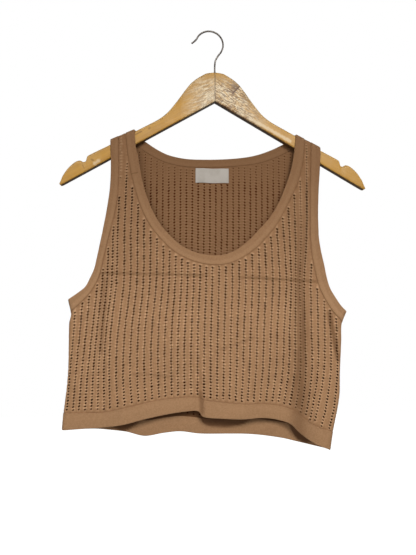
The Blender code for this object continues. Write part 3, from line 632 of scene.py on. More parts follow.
class NodeGraph:
    """A material's node tree, built up from short calls."""

    def __init__(self, name: str) -> None:
        """Start a material with a Principled surface.

        Args:
            name: The material's name.
        """
        self.material = bpy.data.materials.new(name)
        self.material.use_nodes = True
        self.tree = self.material.node_tree
        self.shader = self.tree.nodes["Principled BSDF"]

    def node(self, kind: str, sockets: dict | None = None, **settings: object) -> bpy.types.Node:
        """Add a node.

        Args:
            kind: Blender's name for the node type.
            sockets: Values or links for its inputs, by name or number.
            settings: Values for its own properties.

        Returns:
            The node.
        """
        made = self.tree.nodes.new(kind)
        for key, value in settings.items():
            setattr(made, key, value)
        for key, value in (sockets or {}).items():
            self.feed(made.inputs[key], value)
        return made

    def feed(self, socket: bpy.types.NodeSocket, value: object) -> None:
        """Link an output to a socket, or set the socket to a constant.

        Args:
            socket: The input.
            value: The output or the constant.
        """
        if isinstance(value, bpy.types.NodeSocket):
            self.tree.links.new(value, socket)
        else:
            socket.default_value = value

    def math(self, operation: str, *values: object) -> bpy.types.NodeSocket:
        """A Math node of numbers or links."""
        sockets = dict(enumerate(values))
        return self.node("ShaderNodeMath", sockets, operation=operation).outputs[0]

    def vector(self, operation: str, first: object, second: object) -> bpy.types.NodeSocket:
        """A Vector Math node.

        Args:
            operation: What it does.
            first: A vector or link.
            second: A vector or link, or a number or its link for SCALE.

        Returns:
            The vector, or the number for DOT_PRODUCT and DISTANCE.
        """
        sockets = {0: first, "Scale" if operation == "SCALE" else 1: second}
        output = "Value" if operation in ("DOT_PRODUCT", "DISTANCE") else "Vector"
        return self.node("ShaderNodeVectorMath", sockets, operation=operation).outputs[output]

    def mix(self, share: object, first: object, second: object) -> bpy.types.NodeSocket:
        """A colour between two colours.

        Args:
            share: How much of the second colour.
            first: A colour or link.
            second: A colour or link.

        Returns:
            The mixed colour.
        """
        made = self.node("ShaderNodeMix", data_type="RGBA")
        self.feed(made.inputs[0], share)
        self.feed(made.inputs[6], first)
        self.feed(made.inputs[7], second)
        return made.outputs[2]

    def layer(self, under: object, over: Colour, mask: object, share: float = 1.0) -> bpy.types.NodeSocket:
        """Lay a colour over another.

        Args:
            under: The colour or link below.
            over: The colour above.
            mask: Where it lies, from 0 to 1.
            share: How much of it shows where the mask is 1.

        Returns:
            The layered colour.
        """
        amount = mask if share == 1.0 else self.math("MULTIPLY", mask, share)
        return self.mix(amount, under, rgba(over))

    def noise(self, vector: object, scale: float, detail: float = 3.0) -> bpy.types.NodeSocket:
        """Smooth noise from 0 to 1."""
        sockets = {"Vector": vector, "Scale": scale, "Detail": detail}
        return self.node("ShaderNodeTexNoise", sockets).outputs["Fac"]

    def span(self, value: object, low: float, high: float) -> bpy.types.NodeSocket:
        """A value rescaled so that low becomes 0 and high becomes 1, and clamped."""
        sockets = {"Value": value, "From Min": low, "From Max": high}
        return self.node("ShaderNodeMapRange", sockets, clamp=True).outputs[0]

    def patches(self, place: object, scale: float, low: float, high: float) -> bpy.types.NodeSocket:
        """Soft patches: 0 below the low level of a noise, 1 above the high one."""
        return self.span(self.noise(place, scale, 4.0), low, high)

    def axis(self, place: object, number: int) -> bpy.types.NodeSocket:
        """One coordinate of a place: 0 for x, 1 for y, 2 for z."""
        return self.node("ShaderNodeSeparateXYZ", {0: place}).outputs[number]

    def coordinates(self, output: str) -> bpy.types.NodeSocket:
        """Texture coordinates of one kind."""
        return self.node("ShaderNodeTexCoord").outputs[output]

    def attribute(self, name: str) -> bpy.types.NodeSocket:
        """The number that a mesh carries under a name."""
        return self.node("ShaderNodeAttribute", attribute_name=name).outputs["Fac"]

    def streaks(self, place: object, slope: float, streaks: "Streaks") -> bpy.types.NodeSocket:
        """Streaks on the hanger's faces: 0 between them and 1 on them.

        Args:
            place: Where on the surface.
            slope: Slope of the arm in the plane of x and z.
            streaks: The streaks.

        Returns:
            Their strength there.
        """
        turn = (0.0, slope + streaks.turn, 0.0)
        turned = self.node("ShaderNodeMapping", {"Vector": place, "Rotation": turn}).outputs[0]
        scale = (streaks.along, streaks.across, streaks.across)
        scaled = self.node("ShaderNodeMapping", {"Vector": turned, "Scale": scale}).outputs[0]
        return self.span(self.noise(scaled, 1.0), streaks.low, streaks.high)

    def stroke(self, place: object, mark: "Stroke") -> bpy.types.NodeSocket:
        """A ragged mark, or a line of painted shade or highlight, on the side that faces the viewer.

        Args:
            place: Where on the surface.
            mark: The mark.

        Returns:
            The mark's strength there, from 0 to 1.
        """
        rough = self.node("ShaderNodeTexNoise", {"Vector": place, "Scale": 420.0}).outputs["Color"]
        shift = self.vector("SCALE", self.vector("SUBTRACT", rough, (0.5, 0.5, 0.5)), mark.width)
        flat = self.vector("MULTIPLY", self.vector("ADD", place, shift), (1.0, 0.0, 1.0))
        run_x, run_z = mark.end[0] - mark.start[0], mark.end[1] - mark.start[1]
        run = (run_x, 0.0, run_z)
        ahead = self.vector("SUBTRACT", flat, (mark.start[0], 0.0, mark.start[1]))
        along = self.span(self.vector("DOT_PRODUCT", ahead, run), 0.0, run_x**2 + run_z**2)
        away = self.vector("DISTANCE", ahead, self.vector("SCALE", run, along))
        near = self.span(away, mark.width, 0.3 * mark.width)
        facing = self.span(self.axis(place, 1), 0.0, -0.002)
        return self.math("MULTIPLY", self.math("MULTIPLY", near, facing), mark.strength)

    def bump(self, height: object, strength: float, distance: float) -> bpy.types.NodeSocket:
        """The normal of a surface raised by a height of 0 to 1, where 1 is a distance in metres."""
        sockets = {"Height": height, "Strength": strength, "Distance": distance}
        return self.node("ShaderNodeBump", sockets).outputs[0]

    def surface(self, sockets: dict[str, object]) -> bpy.types.Material:
        """Set or link the shader's own inputs.

        Args:
            sockets: Constants or links, by the input's name.

        Returns:
            The finished material.
        """
        for key, value in sockets.items():
            self.feed(self.shader.inputs[key], value)
        return self.material


@dataclass(frozen=True)
class Stroke:
    """A small mark, or a line of painted shade or highlight, along a line, as x and z on the side that faces
    the viewer.
    """

    start: tuple[float, float]
    end: tuple[float, float]
    width: float
    strength: float
    pale: bool = False


@dataclass(frozen=True)
class Streaks:
    """Fine lines along an arm, as many in a metre along and across, from a noise's levels."""

    turn: float
    along: float
    across: float
    low: float
    high: float


# Yarn: its ground, its lit and shaded stitches as painted highlight and shade, the deepest painted shade in
# an eyelet, and the bands' ground
GROUND = (0.335, 0.165, 0.072)
PALE = (0.800, 0.485, 0.265)
HOLLOW = (0.175, 0.082, 0.034)
DEEP_SHADE = (0.070, 0.018, 0.006)
BAND = (0.335, 0.174, 0.080)
# Painted shade on the knit's inner face
INSIDE_SHADE = 0.34


@dataclass(frozen=True)
class KnitFinish:
    """Brushed cotton yarn in fine jersey stitches, with painted highlight and painted shade.

    The mesh's texture map counts stitches: across the wales and along the courses.
    """

    name: str
    ground: Colour
    wales: float
    courses: float
    strokes: tuple[Stroke, ...]
    purl_rows: float = 0.0
    stitch_slant: float = 1.3
    stitch_contrast: float = 0.45
    cloud: float = 0.06
    fleck: float = 0.15
    upper_shade: float = 0.62
    upper_from: float = -0.42
    upper_to: float = -0.20
    stitch_height: float = 0.00022

    def material(self) -> bpy.types.Material:
        """Build the material.

        Returns:
            The finished material.
        """
        graph = NodeGraph(self.name)
        place, counts = graph.coordinates("Object"), graph.coordinates("UV")
        stitch = self.stitches(graph, counts)
        fuzz = graph.noise(place, 2600.0, 2.0)
        fleck = graph.span(graph.noise(place, 420.0), 0.35, 0.65)
        colour = graph.layer(rgba(self.ground), PALE, stitch, self.stitch_contrast)
        colour = graph.layer(colour, HOLLOW, graph.patches(place, 16.0, 0.3, 0.7), self.cloud)
        colour = graph.layer(colour, PALE, fleck, self.fleck)
        # Painted highlight on the bridges of yarn and the eyelets' rims, and a paler strip along the bands
        colour = graph.layer(colour, PALE, graph.attribute("pale_yarn"))
        # Painted shade along edges, seams and the step on the right, on the inner face, beside the neck's
        # opening and under the front hem
        colour = graph.layer(colour, HOLLOW, graph.attribute("shaded_yarn"))
        colour = graph.layer(colour, HOLLOW, self.purl(graph, counts))
        # Lines of painted shade along creases
        for mark in self.strokes:
            colour = graph.layer(colour, PALE if mark.pale else HOLLOW, graph.stroke(place, mark))
        # Painted shade: the cloth darker towards the shoulders
        upper = graph.span(graph.axis(place, 2), self.upper_from, self.upper_to)
        colour = graph.layer(colour, HOLLOW, upper, self.upper_shade)
        # The deepest painted shade: eyelet walls and pits, between front and back, and under the front hem
        colour = graph.layer(colour, DEEP_SHADE, graph.attribute("deep"))
        lit = graph.math("SUBTRACT", 1.0, graph.attribute("deep"))
        height = graph.math("ADD", stitch, graph.math("MULTIPLY", fuzz, 0.55))
        sheen = graph.math("MULTIPLY_ADD", fuzz, 0.10, 0.10)
        return graph.surface(
            {
                "Base Color": colour,
                "Normal": graph.bump(height, 0.8, self.stitch_height),
                "Roughness": graph.math("MULTIPLY_ADD", fleck, -0.08, 0.96),
                "Sheen Weight": graph.math("MULTIPLY", sheen, lit),
                "Sheen Roughness": 0.6,
                "Sheen Tint": rgba(PALE),
                "Specular IOR Level": graph.math("MULTIPLY", lit, 0.2),
            }
        )

    def stitches(self, graph: NodeGraph, counts: object) -> bpy.types.NodeSocket:
        """Height of the jersey's loops, each a pair of slanted legs in its wale.

        Args:
            graph: The material's nodes.
            counts: The texture map that counts stitches.

        Returns:
            The height, from 0 between the loops to 1 on a leg.
        """
        wale = graph.math("MULTIPLY", graph.axis(counts, 0), self.wales)
        course = graph.math("MULTIPLY", graph.axis(counts, 1), self.courses)
        from_middle = graph.math("ABSOLUTE", graph.math("SUBTRACT", graph.math("FRACT", wale), 0.5))
        slanted = graph.math("ADD", course, graph.math("MULTIPLY", from_middle, self.stitch_slant))
        loop = graph.math("SINE", graph.math("MULTIPLY", slanted, 2.0 * math.pi))
        loop = graph.math("MULTIPLY_ADD", loop, 0.5, 0.5)
        leg = graph.math("SINE", graph.math("MULTIPLY", from_middle, 2.0 * math.pi))
        return graph.math("MULTIPLY", graph.math("MULTIPLY_ADD", loop, 0.6, 0.4), leg)

    def purl(self, graph: NodeGraph, counts: object) -> bpy.types.NodeSocket:
        """Shade between the rows of loops on the inside of the knit.

        Args:
            graph: The material's nodes.
            counts: The texture map that counts stitches.

        Returns:
            Its strength, from 0 to 1.
        """
        rows = graph.math("SINE", graph.math("MULTIPLY", graph.axis(counts, 1), 2.0 * math.pi))
        rows = graph.math("MULTIPLY_ADD", rows, 0.5, 0.5)
        strength = graph.math("MULTIPLY", rows, self.purl_rows)
        return graph.math("MULTIPLY", strength, graph.attribute("inside"))


FIGURE = Streaks(0.0, 9.0, 130.0, 0.36, 0.68)
FIBRE = Streaks(0.0, 40.0, 950.0, 0.32, 0.68)
SCRATCHES = (Streaks(0.12, 120.0, 900.0, 0.49, 0.60), Streaks(1.25, 170.0, 800.0, 0.51, 0.62))
RUBBING = Streaks(-0.20, 90.0, 600.0, 0.46, 0.60)


@dataclass(frozen=True)
class WoodFinish:
    """Varnished pale wood, with grain along an arm and worn, scratched varnish by the joint, where a painted
    highlight also lies.
    """

    name: str
    slope: float
    worn_from: float
    worn_to: float
    scratched: float
    strokes: tuple[Stroke, ...]
    wood: Colour = (0.615, 0.318, 0.046)
    dark: Colour = (0.330, 0.150, 0.024)
    scratch: Colour = (0.125, 0.050, 0.015)
    worn: Colour = (0.930, 0.760, 0.500)
    # Painted shade on the underside and in the joint between the arms
    underside: Colour = (0.040, 0.016, 0.006)

    def material(self) -> bpy.types.Material:
        """Build the material.

        Returns:
            The finished material.
        """
        graph = NodeGraph(self.name)
        place = graph.coordinates("Object")
        fibre = graph.streaks(place, self.slope, FIBRE)
        scratches = graph.math("MAXIMUM", *(graph.streaks(place, self.slope, run) for run in SCRATCHES))
        rubbing = graph.streaks(place, self.slope, RUBBING)
        worn_and_highlit = graph.math("MAXIMUM", rubbing, graph.patches(place, 70.0, 0.48, 0.66))
        worn_and_highlit = graph.math("MULTIPLY_ADD", worn_and_highlit, 0.75, 0.25)
        by_joint = self.by_joint(graph, place)
        colour = graph.layer(rgba(self.wood), self.dark, graph.streaks(place, self.slope, FIGURE), 0.34)
        colour = graph.layer(colour, self.dark, fibre, 0.24)
        colour = graph.layer(colour, self.worn, graph.patches(place, 55.0, 0.35, 0.70), 0.08)
        # Pale streaks by the joint: worn varnish, and a painted highlight
        colour = graph.layer(colour, self.worn, graph.math("MULTIPLY", worn_and_highlit, by_joint))
        scratched = graph.math("MULTIPLY", scratches, by_joint)
        colour = graph.layer(colour, self.scratch, scratched, self.scratched)
        # Marks; on the right arm also a painted highlight and painted shade
        for mark in self.strokes:
            colour = graph.layer(colour, self.worn if mark.pale else self.scratch, graph.stroke(place, mark))
        # Painted shade on the underside and in the joint
        colour = graph.layer(colour, self.underside, graph.attribute("dark_wood"))
        colour = graph.layer(colour, self.worn, graph.attribute("pale_wood"))
        relief = graph.math("MULTIPLY_ADD", scratches, -0.6, fibre)
        return graph.surface(
            {
                "Base Color": colour,
                "Roughness": graph.math("MULTIPLY_ADD", graph.noise(place, 90.0), 0.18, 0.34),
                "Normal": graph.bump(relief, 0.4, 0.00014),
                "Specular IOR Level": 0.25,
                "Coat Weight": 0.08,
                "Coat Roughness": 0.30,
            }
        )

    def by_joint(self, graph: NodeGraph, place: object) -> bpy.types.NodeSocket:
        """The worn and highlit part of the arm: 1 by the joint, 0 further out and along the top edge."""
        inner = graph.span(graph.axis(place, 0), self.worn_to, self.worn_from)
        return graph.math("MULTIPLY", inner, graph.span(graph.axis(place, 2), -0.066, -0.084))


@dataclass(frozen=True)
class SteelFinish:
    """Dark bent wire with a drawn, slightly worn surface."""

    name: str
    steel: Colour = (0.110, 0.093, 0.078)
    worn: Colour = (0.260, 0.232, 0.205)

    def material(self) -> bpy.types.Material:
        """Build the material.

        Returns:
            The finished material.
        """
        graph = NodeGraph(self.name)
        place = graph.coordinates("Object")
        patch = graph.patches(place, 140.0, 0.40, 0.70)
        return graph.surface(
            {
                "Base Color": graph.layer(rgba(self.steel), self.worn, patch),
                "Metallic": 1.0,
                "Roughness": graph.math("MULTIPLY_ADD", patch, -0.14, 0.42),
                "Normal": graph.bump(graph.noise(place, 1500.0, 2.0), 0.3, 0.00006),
            }
        )


@dataclass(frozen=True)
class WovenFinish:
    """Fine off-white satin ribbon with its weave."""

    name: str
    thread: Colour = (0.500, 0.450, 0.390)
    hollow: Colour = (0.340, 0.295, 0.245)
    warp_pitch: float = 0.00045
    weft_pitch: float = 0.00032

    def material(self) -> bpy.types.Material:
        """Build the material.

        Returns:
            The finished material.
        """
        graph = NodeGraph(self.name)
        place = graph.coordinates("Object")
        warp = graph.math("MULTIPLY", graph.axis(place, 0), 2.0 * math.pi / self.warp_pitch)
        weft = graph.math("MULTIPLY", graph.axis(place, 2), 2.0 * math.pi / self.weft_pitch)
        weave = graph.math("MULTIPLY", graph.math("SINE", warp), graph.math("SINE", weft))
        weave = graph.math("MULTIPLY_ADD", weave, 0.5, 0.5)
        soil = graph.patches(place, 95.0, 0.42, 0.72)
        colour = graph.layer(rgba(self.thread), self.hollow, weave, 0.35)
        return graph.surface(
            {
                "Base Color": graph.layer(colour, self.hollow, soil, 0.35),
                "Roughness": graph.math("MULTIPLY_ADD", soil, 0.16, 0.56),
                "Sheen Weight": graph.math("MULTIPLY_ADD", weave, 0.12, 0.12),
                "Normal": graph.bump(weave, 0.5, 0.00010),
            }
        )


# ---------------------------------------------------------------- meshes


@dataclass
class Piece:
    """A finished mesh waiting to be dressed."""

    name: str
    points: np.ndarray
    faces: list
    uv: np.ndarray | None = None
    numbers: dict[str, np.ndarray] | None = None
    deep: np.ndarray | None = None
    deep_from: int = 0

    def dress(
        self, material: bpy.types.Material, node: str, slot: str, sharp: float = 60.0
    ) -> bpy.types.Object:
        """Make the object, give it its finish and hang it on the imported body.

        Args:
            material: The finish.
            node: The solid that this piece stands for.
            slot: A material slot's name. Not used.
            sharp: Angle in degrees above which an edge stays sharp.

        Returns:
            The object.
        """
        mesh = bpy.data.meshes.new(self.name)
        mesh.from_pydata([tuple(point) for point in self.points.tolist()], [], self.faces)
        mesh.validate()
        mesh.materials.append(material)
        corners = np.empty(len(mesh.loops), np.int64)
        mesh.loops.foreach_get("vertex_index", corners)
        if self.uv is not None:
            layer = mesh.uv_layers.new(name="stitches")
            layer.data.foreach_set("uv", self.uv[corners].astype(np.float32).ravel())
        for name, values in (self.numbers or {}).items():
            attribute = mesh.attributes.new(name, "FLOAT", "POINT")
            attribute.data.foreach_set("value", values.astype(np.float32))
        # Painted shade: the eyelets' walls and pits are darkest
        if self.deep is not None:
            deep = self.deep[corners].astype(np.float32)
            deep[mesh.polygons[self.deep_from].loop_start :] = 1.0
            mesh.attributes.new("deep", "FLOAT", "CORNER").data.foreach_set("value", deep)
        mesh.shade_smooth()
        mesh.set_sharp_from_angle(angle=math.radians(sharp))
        made = bpy.data.objects.new(self.name, mesh)
        bpy.context.scene.collection.objects.link(made)
        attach(made, "root")
        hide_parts(node)
        log.info("%s: %d triangles", self.name, sum(len(face) - 2 for face in self.faces))
        return made


@dataclass(frozen=True)
class EyeletGrid:
    """Columns of eyelets on a panel, and the stitches counted from them."""

    side: Side
    pitch: float
    height: float = 0.46
    foot_z: float = -0.56
    first_row: float = 0.0042
    start_spread: float = 0.0003
    row_spread: float = 0.00010
    column_spread: float = 0.00016
    clear: float = 0.0026
    half_width: float = 0.00150
    half_height: float = 0.00132
    sides: int = 8

    def column_x(self, column: np.ndarray, z: np.ndarray) -> np.ndarray:
        """Pattern x of columns of eyelets at given heights.

        Args:
            column: Column numbers, whole on a column and between on a rib.
            z: Heights on the pattern.

        Returns:
            The x of each.
        """
        lines = self._lines_at(z)
        stations = np.array(COLUMN_STATIONS[self.side], float)
        index = np.clip(np.searchsorted(stations, column, side="right") - 1, 0, len(stations) - 2)
        share = (column - stations[index]) / (stations[index + 1] - stations[index])
        rows = np.arange(len(lines))
        return lines[rows, index] * (1.0 - share) + lines[rows, index + 1] * share

    def column_of(self, x: np.ndarray, z: np.ndarray) -> np.ndarray:
        """Column number of places on the pattern, the reverse of column_x.

        Args:
            x: Pattern x of each place.
            z: Pattern z of each place.

        Returns:
            The column number, with its fraction, of each.
        """
        lines = self._lines_at(z)
        stations = np.array(COLUMN_STATIONS[self.side], float)
        index = np.clip((lines <= x[:, None]).sum(axis=1) - 1, 0, len(stations) - 2)
        rows = np.arange(len(lines))
        low, high = lines[rows, index], lines[rows, index + 1]
        return stations[index] + (x - low) / (high - low) * (stations[index + 1] - stations[index])

    def row_of(self, x: np.ndarray, z: np.ndarray) -> np.ndarray:
        """Rows counted up from the hem's seam."""
        return (z - self.hem_z(x)) / self.pitch

    def hem_z(self, x: np.ndarray) -> np.ndarray:
        """Height of the hem's seam at given x."""
        rows = hem_rows(self.side, 0.004)[:, 2:]
        return np.interp(x, rows[:, 0], rows[:, 1])

    def _lines_at(self, z: np.ndarray) -> np.ndarray:
        """Where the columns with known lines run at given heights.

        Args:
            z: Heights on the pattern.

        Returns:
            The x of every such column, one row for each height.
        """
        table = np.array(COLUMN_LINES[self.side])
        columns = [Curve(tuple(table[:, (0, i)]))(z) for i in range(1, table.shape[1])]
        return np.stack(columns, axis=-1)

    def centres(self, random: np.random.Generator) -> tuple[np.ndarray, np.ndarray, np.ndarray]:
        """Every place on the grid, whether or not an eyelet fits there.

        Args:
            random: Source of the knit's small irregularities.

        Returns:
            The x, the z and the column number of each.
        """
        rows_up = int(self.height / self.pitch)
        found = []
        for column in range(-1, COLUMN_STATIONS[self.side][-1] + 2):
            numbers = np.full(rows_up, float(column))
            low_x = self.column_x(numbers[:1], np.array([self.foot_z]))
            start = self.hem_z(low_x)[0] + self.first_row + random.normal(0.0, self.start_spread)
            z = start + np.arange(rows_up) * self.pitch
            drift = np.cumsum(random.normal(0.0, self.row_spread, rows_up))
            z = z + drift - 0.5 * drift[-1]
            x = self.column_x(numbers, z) + random.normal(0.0, self.column_spread, rows_up)
            found.append((x, z, numbers))
        x, z, column = (np.concatenate(group) for group in zip(*found))
        return x, z, column


@dataclass(frozen=True)
class EyeletLayout:
    """Every place on a panel's grid, and the ring of each eyelet that fits there."""

    x: np.ndarray
    z: np.ndarray
    column: np.ndarray
    fits: np.ndarray
    lean: np.ndarray
    rings: np.ndarray


def tree_of(points: np.ndarray) -> KDTree:
    """A search tree of places.

    Args:
        points: Rows of x and z.

    Returns:
        The tree, balanced.
    """
    tree = KDTree(len(points))
    for index, (x, z) in enumerate(points.tolist()):
        tree.insert((x, z, 0.0), index)
    tree.balance()
    return tree


def loft_faces(count: int, size: int, closed: bool) -> list[tuple[int, ...]]:
    """Faces of a skin over rings of points.

    Args:
        count: How many rings there are.
        size: How many points a ring has.
        closed: Whether the last ring joins the first. Otherwise each end is capped.

    Returns:
        The quads, and then the caps.
    """
    faces = []
    for index in range(count if closed else count - 1):
        start, end = index * size, (index + 1) % count * size
        for corner in range(size):
            following = (corner + 1) % size
            faces.append((start + corner, start + following, end + following, end + corner))
    if not closed:
        faces.append(tuple(reversed(range(size))))
        faces.append(tuple(range((count - 1) * size, count * size)))
    return faces


def from_outline(points: np.ndarray, outline: np.ndarray) -> np.ndarray:
    """Signed distance of places from a closed outline, positive inside.

    Args:
        points: Rows of x, z.
        outline: Rows of x, z round the outline.

    Returns:
        The distance of each place.
    """
    result = np.full(len(points), np.inf)
    crossings = np.zeros(len(points), int)
    following = np.roll(outline, -1, axis=0)
    for start, end in zip(outline, following):
        run = end - start
        along = np.clip(((points - start) @ run) / (run @ run), 0.0, 1.0)
        away = np.linalg.norm(points - (start + along[:, None] * run), axis=1)
        result = np.minimum(result, away)
        spans = (start[1] > points[:, 1]) != (end[1] > points[:, 1])
        if run[1] != 0.0:
            at = start[0] + (points[:, 1] - start[1]) / run[1] * run[0]
            crossings += spans & (points[:, 0] < at)
    return np.where(crossings % 2 == 1, result, -result)


@dataclass
class EyeletPanel:
    """A panel of the body: knit with columns of eyelets."""

    name: str
    node: str
    side: Side
    half_thickness: float = 0.00062
    edge_step: float = 0.0022
    edge_drop: float = 0.0002
    tuck: float = 0.0005
    rib: float = 0.00040
    rib_shares: tuple[float, ...] = (-0.25, 0.25)
    rim_dip: float = 0.00030
    bridge_rise: float = 0.00028
    bridge_run: float = 0.00060
    lone_bridge: float = 0.25
    web: float = 0.00005
    size_spread: float = 0.085
    size_limits: tuple[float, float] = (0.70, 1.20)
    strap_z: float = -0.205
    closed_columns: tuple[float, ...] = ()
    closed_above: float = -0.2330
    closed_size: float = 0.55
    step_narrowing: tuple[float, float] = (0.06, 0.30)
    step_run: float = 0.006
    lean: float = math.radians(26.0)
    lean_x: float = -0.020
    lean_run: float = 0.030
    lean_spread: float = 0.20
    from_edge: float = 0.0007
    from_eyelet: float = 0.00185
    edge_shade: float = 0.35
    rim_highlight: float = 0.35

    def outline(self) -> np.ndarray:
        """The panel's edge, anticlockwise on the pattern, drawn in from the seams.

        Returns:
            Rows of x, z.
        """
        step = self.edge_step
        runs = [hem_rows(self.side, step)[:, 2:], self.side_edge(Hand.RIGHT)]
        runs += [armhole_rows(Hand.RIGHT, step)[::-1, 2:], neckband_rows(self.side, step)[::-1, 2:]]
        runs += [armhole_rows(Hand.LEFT, step)[:, 2:], self.side_edge(Hand.LEFT)[::-1]]
        points = np.concatenate(runs)
        beside = [index in (1, 5) for index, run in enumerate(runs) for _ in run]
        inset = np.where(beside, 0.5 * SEAM_GAP, -self.tuck)
        apart = np.linalg.norm(points - np.roll(points, 1, axis=0), axis=1)
        points, inset = points[apart > 1e-5], inset[apart > 1e-5]
        before, after = np.roll(points, 1, axis=0), np.roll(points, -1, axis=0)
        along = after - before
        inwards = np.stack([-along[:, 1], along[:, 0]], axis=-1)
        inwards /= np.linalg.norm(inwards, axis=1, keepdims=True)
        return points + inset[:, None] * inwards

    def side_edge(self, hand: Hand) -> np.ndarray:
        """A side seam from the hem band up to the armhole band.

        Args:
            hand: Which side seam.

        Returns:
            Rows of x, z.
        """
        low, high = HEM_CORNER[hand][1], UNDERARM[hand][1]
        z = np.linspace(low, high, int((high - low) / self.edge_step) + 1)
        return np.stack([CLOTH.side_x(hand, z), z], axis=-1)

    def lay_out(self, grid: EyeletGrid, outline: np.ndarray, random: np.random.Generator) -> EyeletLayout:
        """Lay out the eyelets that fit inside the panel.

        Args:
            grid: The columns and rows.
            outline: The panel's edge.
            random: Source of the knit's small irregularities.

        Returns:
            The grid's places and the eyelets' rings, an array of eyelet, corner, x and z.
        """
        x, z, column = grid.centres(random)
        size = np.clip(random.normal(1.0, self.size_spread, len(x)), *self.size_limits)
        size = size * (0.62 + 0.38 * smooth((self.strap_z - z) / 0.03))
        closed = np.isin(column, self.closed_columns) & (z > self.closed_above)
        size = np.where(closed, self.closed_size * size, size)
        step_rows = np.array(STEP_LINES[self.side])
        for line_x, narrower in zip(step_rows[:, 1:].T, self.step_narrowing):
            line = np.interp(z, step_rows[:, 0], line_x)
            size = size * (1.0 - narrower * np.exp(-(((x - line) / self.step_run) ** 2)))
        fits = from_outline(np.stack([x, z], axis=-1), outline) > grid.clear
        lean = self.lean * np.tanh((x - self.lean_x) / self.lean_run)
        lean = lean + random.normal(0.0, self.lean_spread, len(x))
        turns = 2.0 * math.pi * (np.arange(grid.sides) + 0.5) / grid.sides
        wide = grid.half_width * size[:, None] * np.cos(turns)
        tall = grid.half_height * size[:, None] * np.sin(turns)
        tall = tall - np.sin(lean)[:, None] * wide * 0.8
        rings = np.stack([x[:, None] + wide, z[:, None] + tall], axis=-1)
        return EyeletLayout(x, z, column, fits, lean, rings[fits])

    def between(self, grid: EyeletGrid, laid: EyeletLayout) -> list[tuple[np.ndarray, np.ndarray, float]]:
        """Places between the eyelets: bridges, ribs, side turns and shoulder bends.

        Args:
            grid: The columns and rows.
            laid: The eyelets.

        Returns:
            Groups, the most wanted first, each of rows of x and z, the weight of the painted
            highlight on the bridge of yarn at each, and the least distance from another place.
        """
        x, z, none = laid.x, laid.z, np.zeros(len(laid.x))
        up = 0.5 * grid.pitch
        slant = np.sin(laid.lean) * self.bridge_run
        weight = np.where(laid.fits, 1.0, self.lone_bridge)
        groups = []
        for hand in (-1.0, 1.0):
            bridge = np.stack([x + hand * self.bridge_run, z + up - hand * slant], axis=-1)
            groups.append((bridge, weight, 0.0004))
        rib_x = grid.column_x(laid.column + 0.5, z + up)
        groups.append((np.stack([rib_x, z + up], axis=-1), none, 0.0008))
        for share in self.rib_shares:
            rib_x = grid.column_x(laid.column + share, z)
            groups.append((np.stack([rib_x, z], axis=-1), none, 0.0007))
        for hand in Hand:
            low, high = HEM_CORNER[hand][1], UNDERARM[hand][1]
            heights = np.arange(low + 0.0016, high - 0.0008, 0.0030)
            for share in (0.16, 0.34, 0.54, 0.76, 1.0):
                edge = CLOTH.side_x(hand, heights) - hand.value * SIDE_TURN_LENGTH * share
                groups.append((np.stack([edge, heights], axis=-1), np.zeros(len(edge)), 0.0006))
            outer, inner = ARMHOLE_SHOULDER[hand][1], NECK_SHOULDER[hand][1]
            for x_over in np.linspace(outer, inner, 8)[1:-1]:
                down = np.arange(0.0014, 0.0150, 0.0015)
                over = np.stack([np.full(len(down), x_over), CLOTH.ridge_z(x_over) - down], axis=-1)
                groups.append((over, np.zeros(len(over)), 0.0006))
        return groups

    def fill(self, grid: EyeletGrid, laid: EyeletLayout, outline: np.ndarray) -> tuple[np.ndarray, ...]:
        """Points between the eyelets, none too near another, an eyelet or the edge.

        Args:
            grid: The columns and rows.
            laid: The eyelets.
            outline: The panel's edge.

        Returns:
            Rows of x, z, and for each the weight of the painted highlight on the bridge of yarn there.
        """
        rims = tree_of(np.concatenate([laid.rings.reshape(-1, 2), outline]))
        eyelets = tree_of(np.stack([laid.x, laid.z], axis=-1)[laid.fits])
        cell = 0.0010
        taken: dict[tuple[int, int], list[list[float]]] = {}
        kept, weights = [], []
        for points, weight, spacing in self.between(grid, laid):
            inside = from_outline(points, outline)
            for point, value, depth in zip(points.tolist(), weight.tolist(), inside.tolist()):
                if depth < self.from_edge or eyelets.find((*point, 0.0))[2] < self.from_eyelet:
                    continue
                if rims.find((*point, 0.0))[2] < spacing * 0.75:
                    continue
                across, up = int(point[0] // cell), int(point[1] // cell)
                around = ((across + i, up + j) for i in (-1, 0, 1) for j in (-1, 0, 1))
                near = (other for key in around for other in taken.get(key, ()))
                if any(math.dist(point, other) < spacing for other in near):
                    continue
                taken.setdefault((across, up), []).append(point)
                kept.append(point)
                weights.append(value)
        return np.array(kept), np.array(weights)

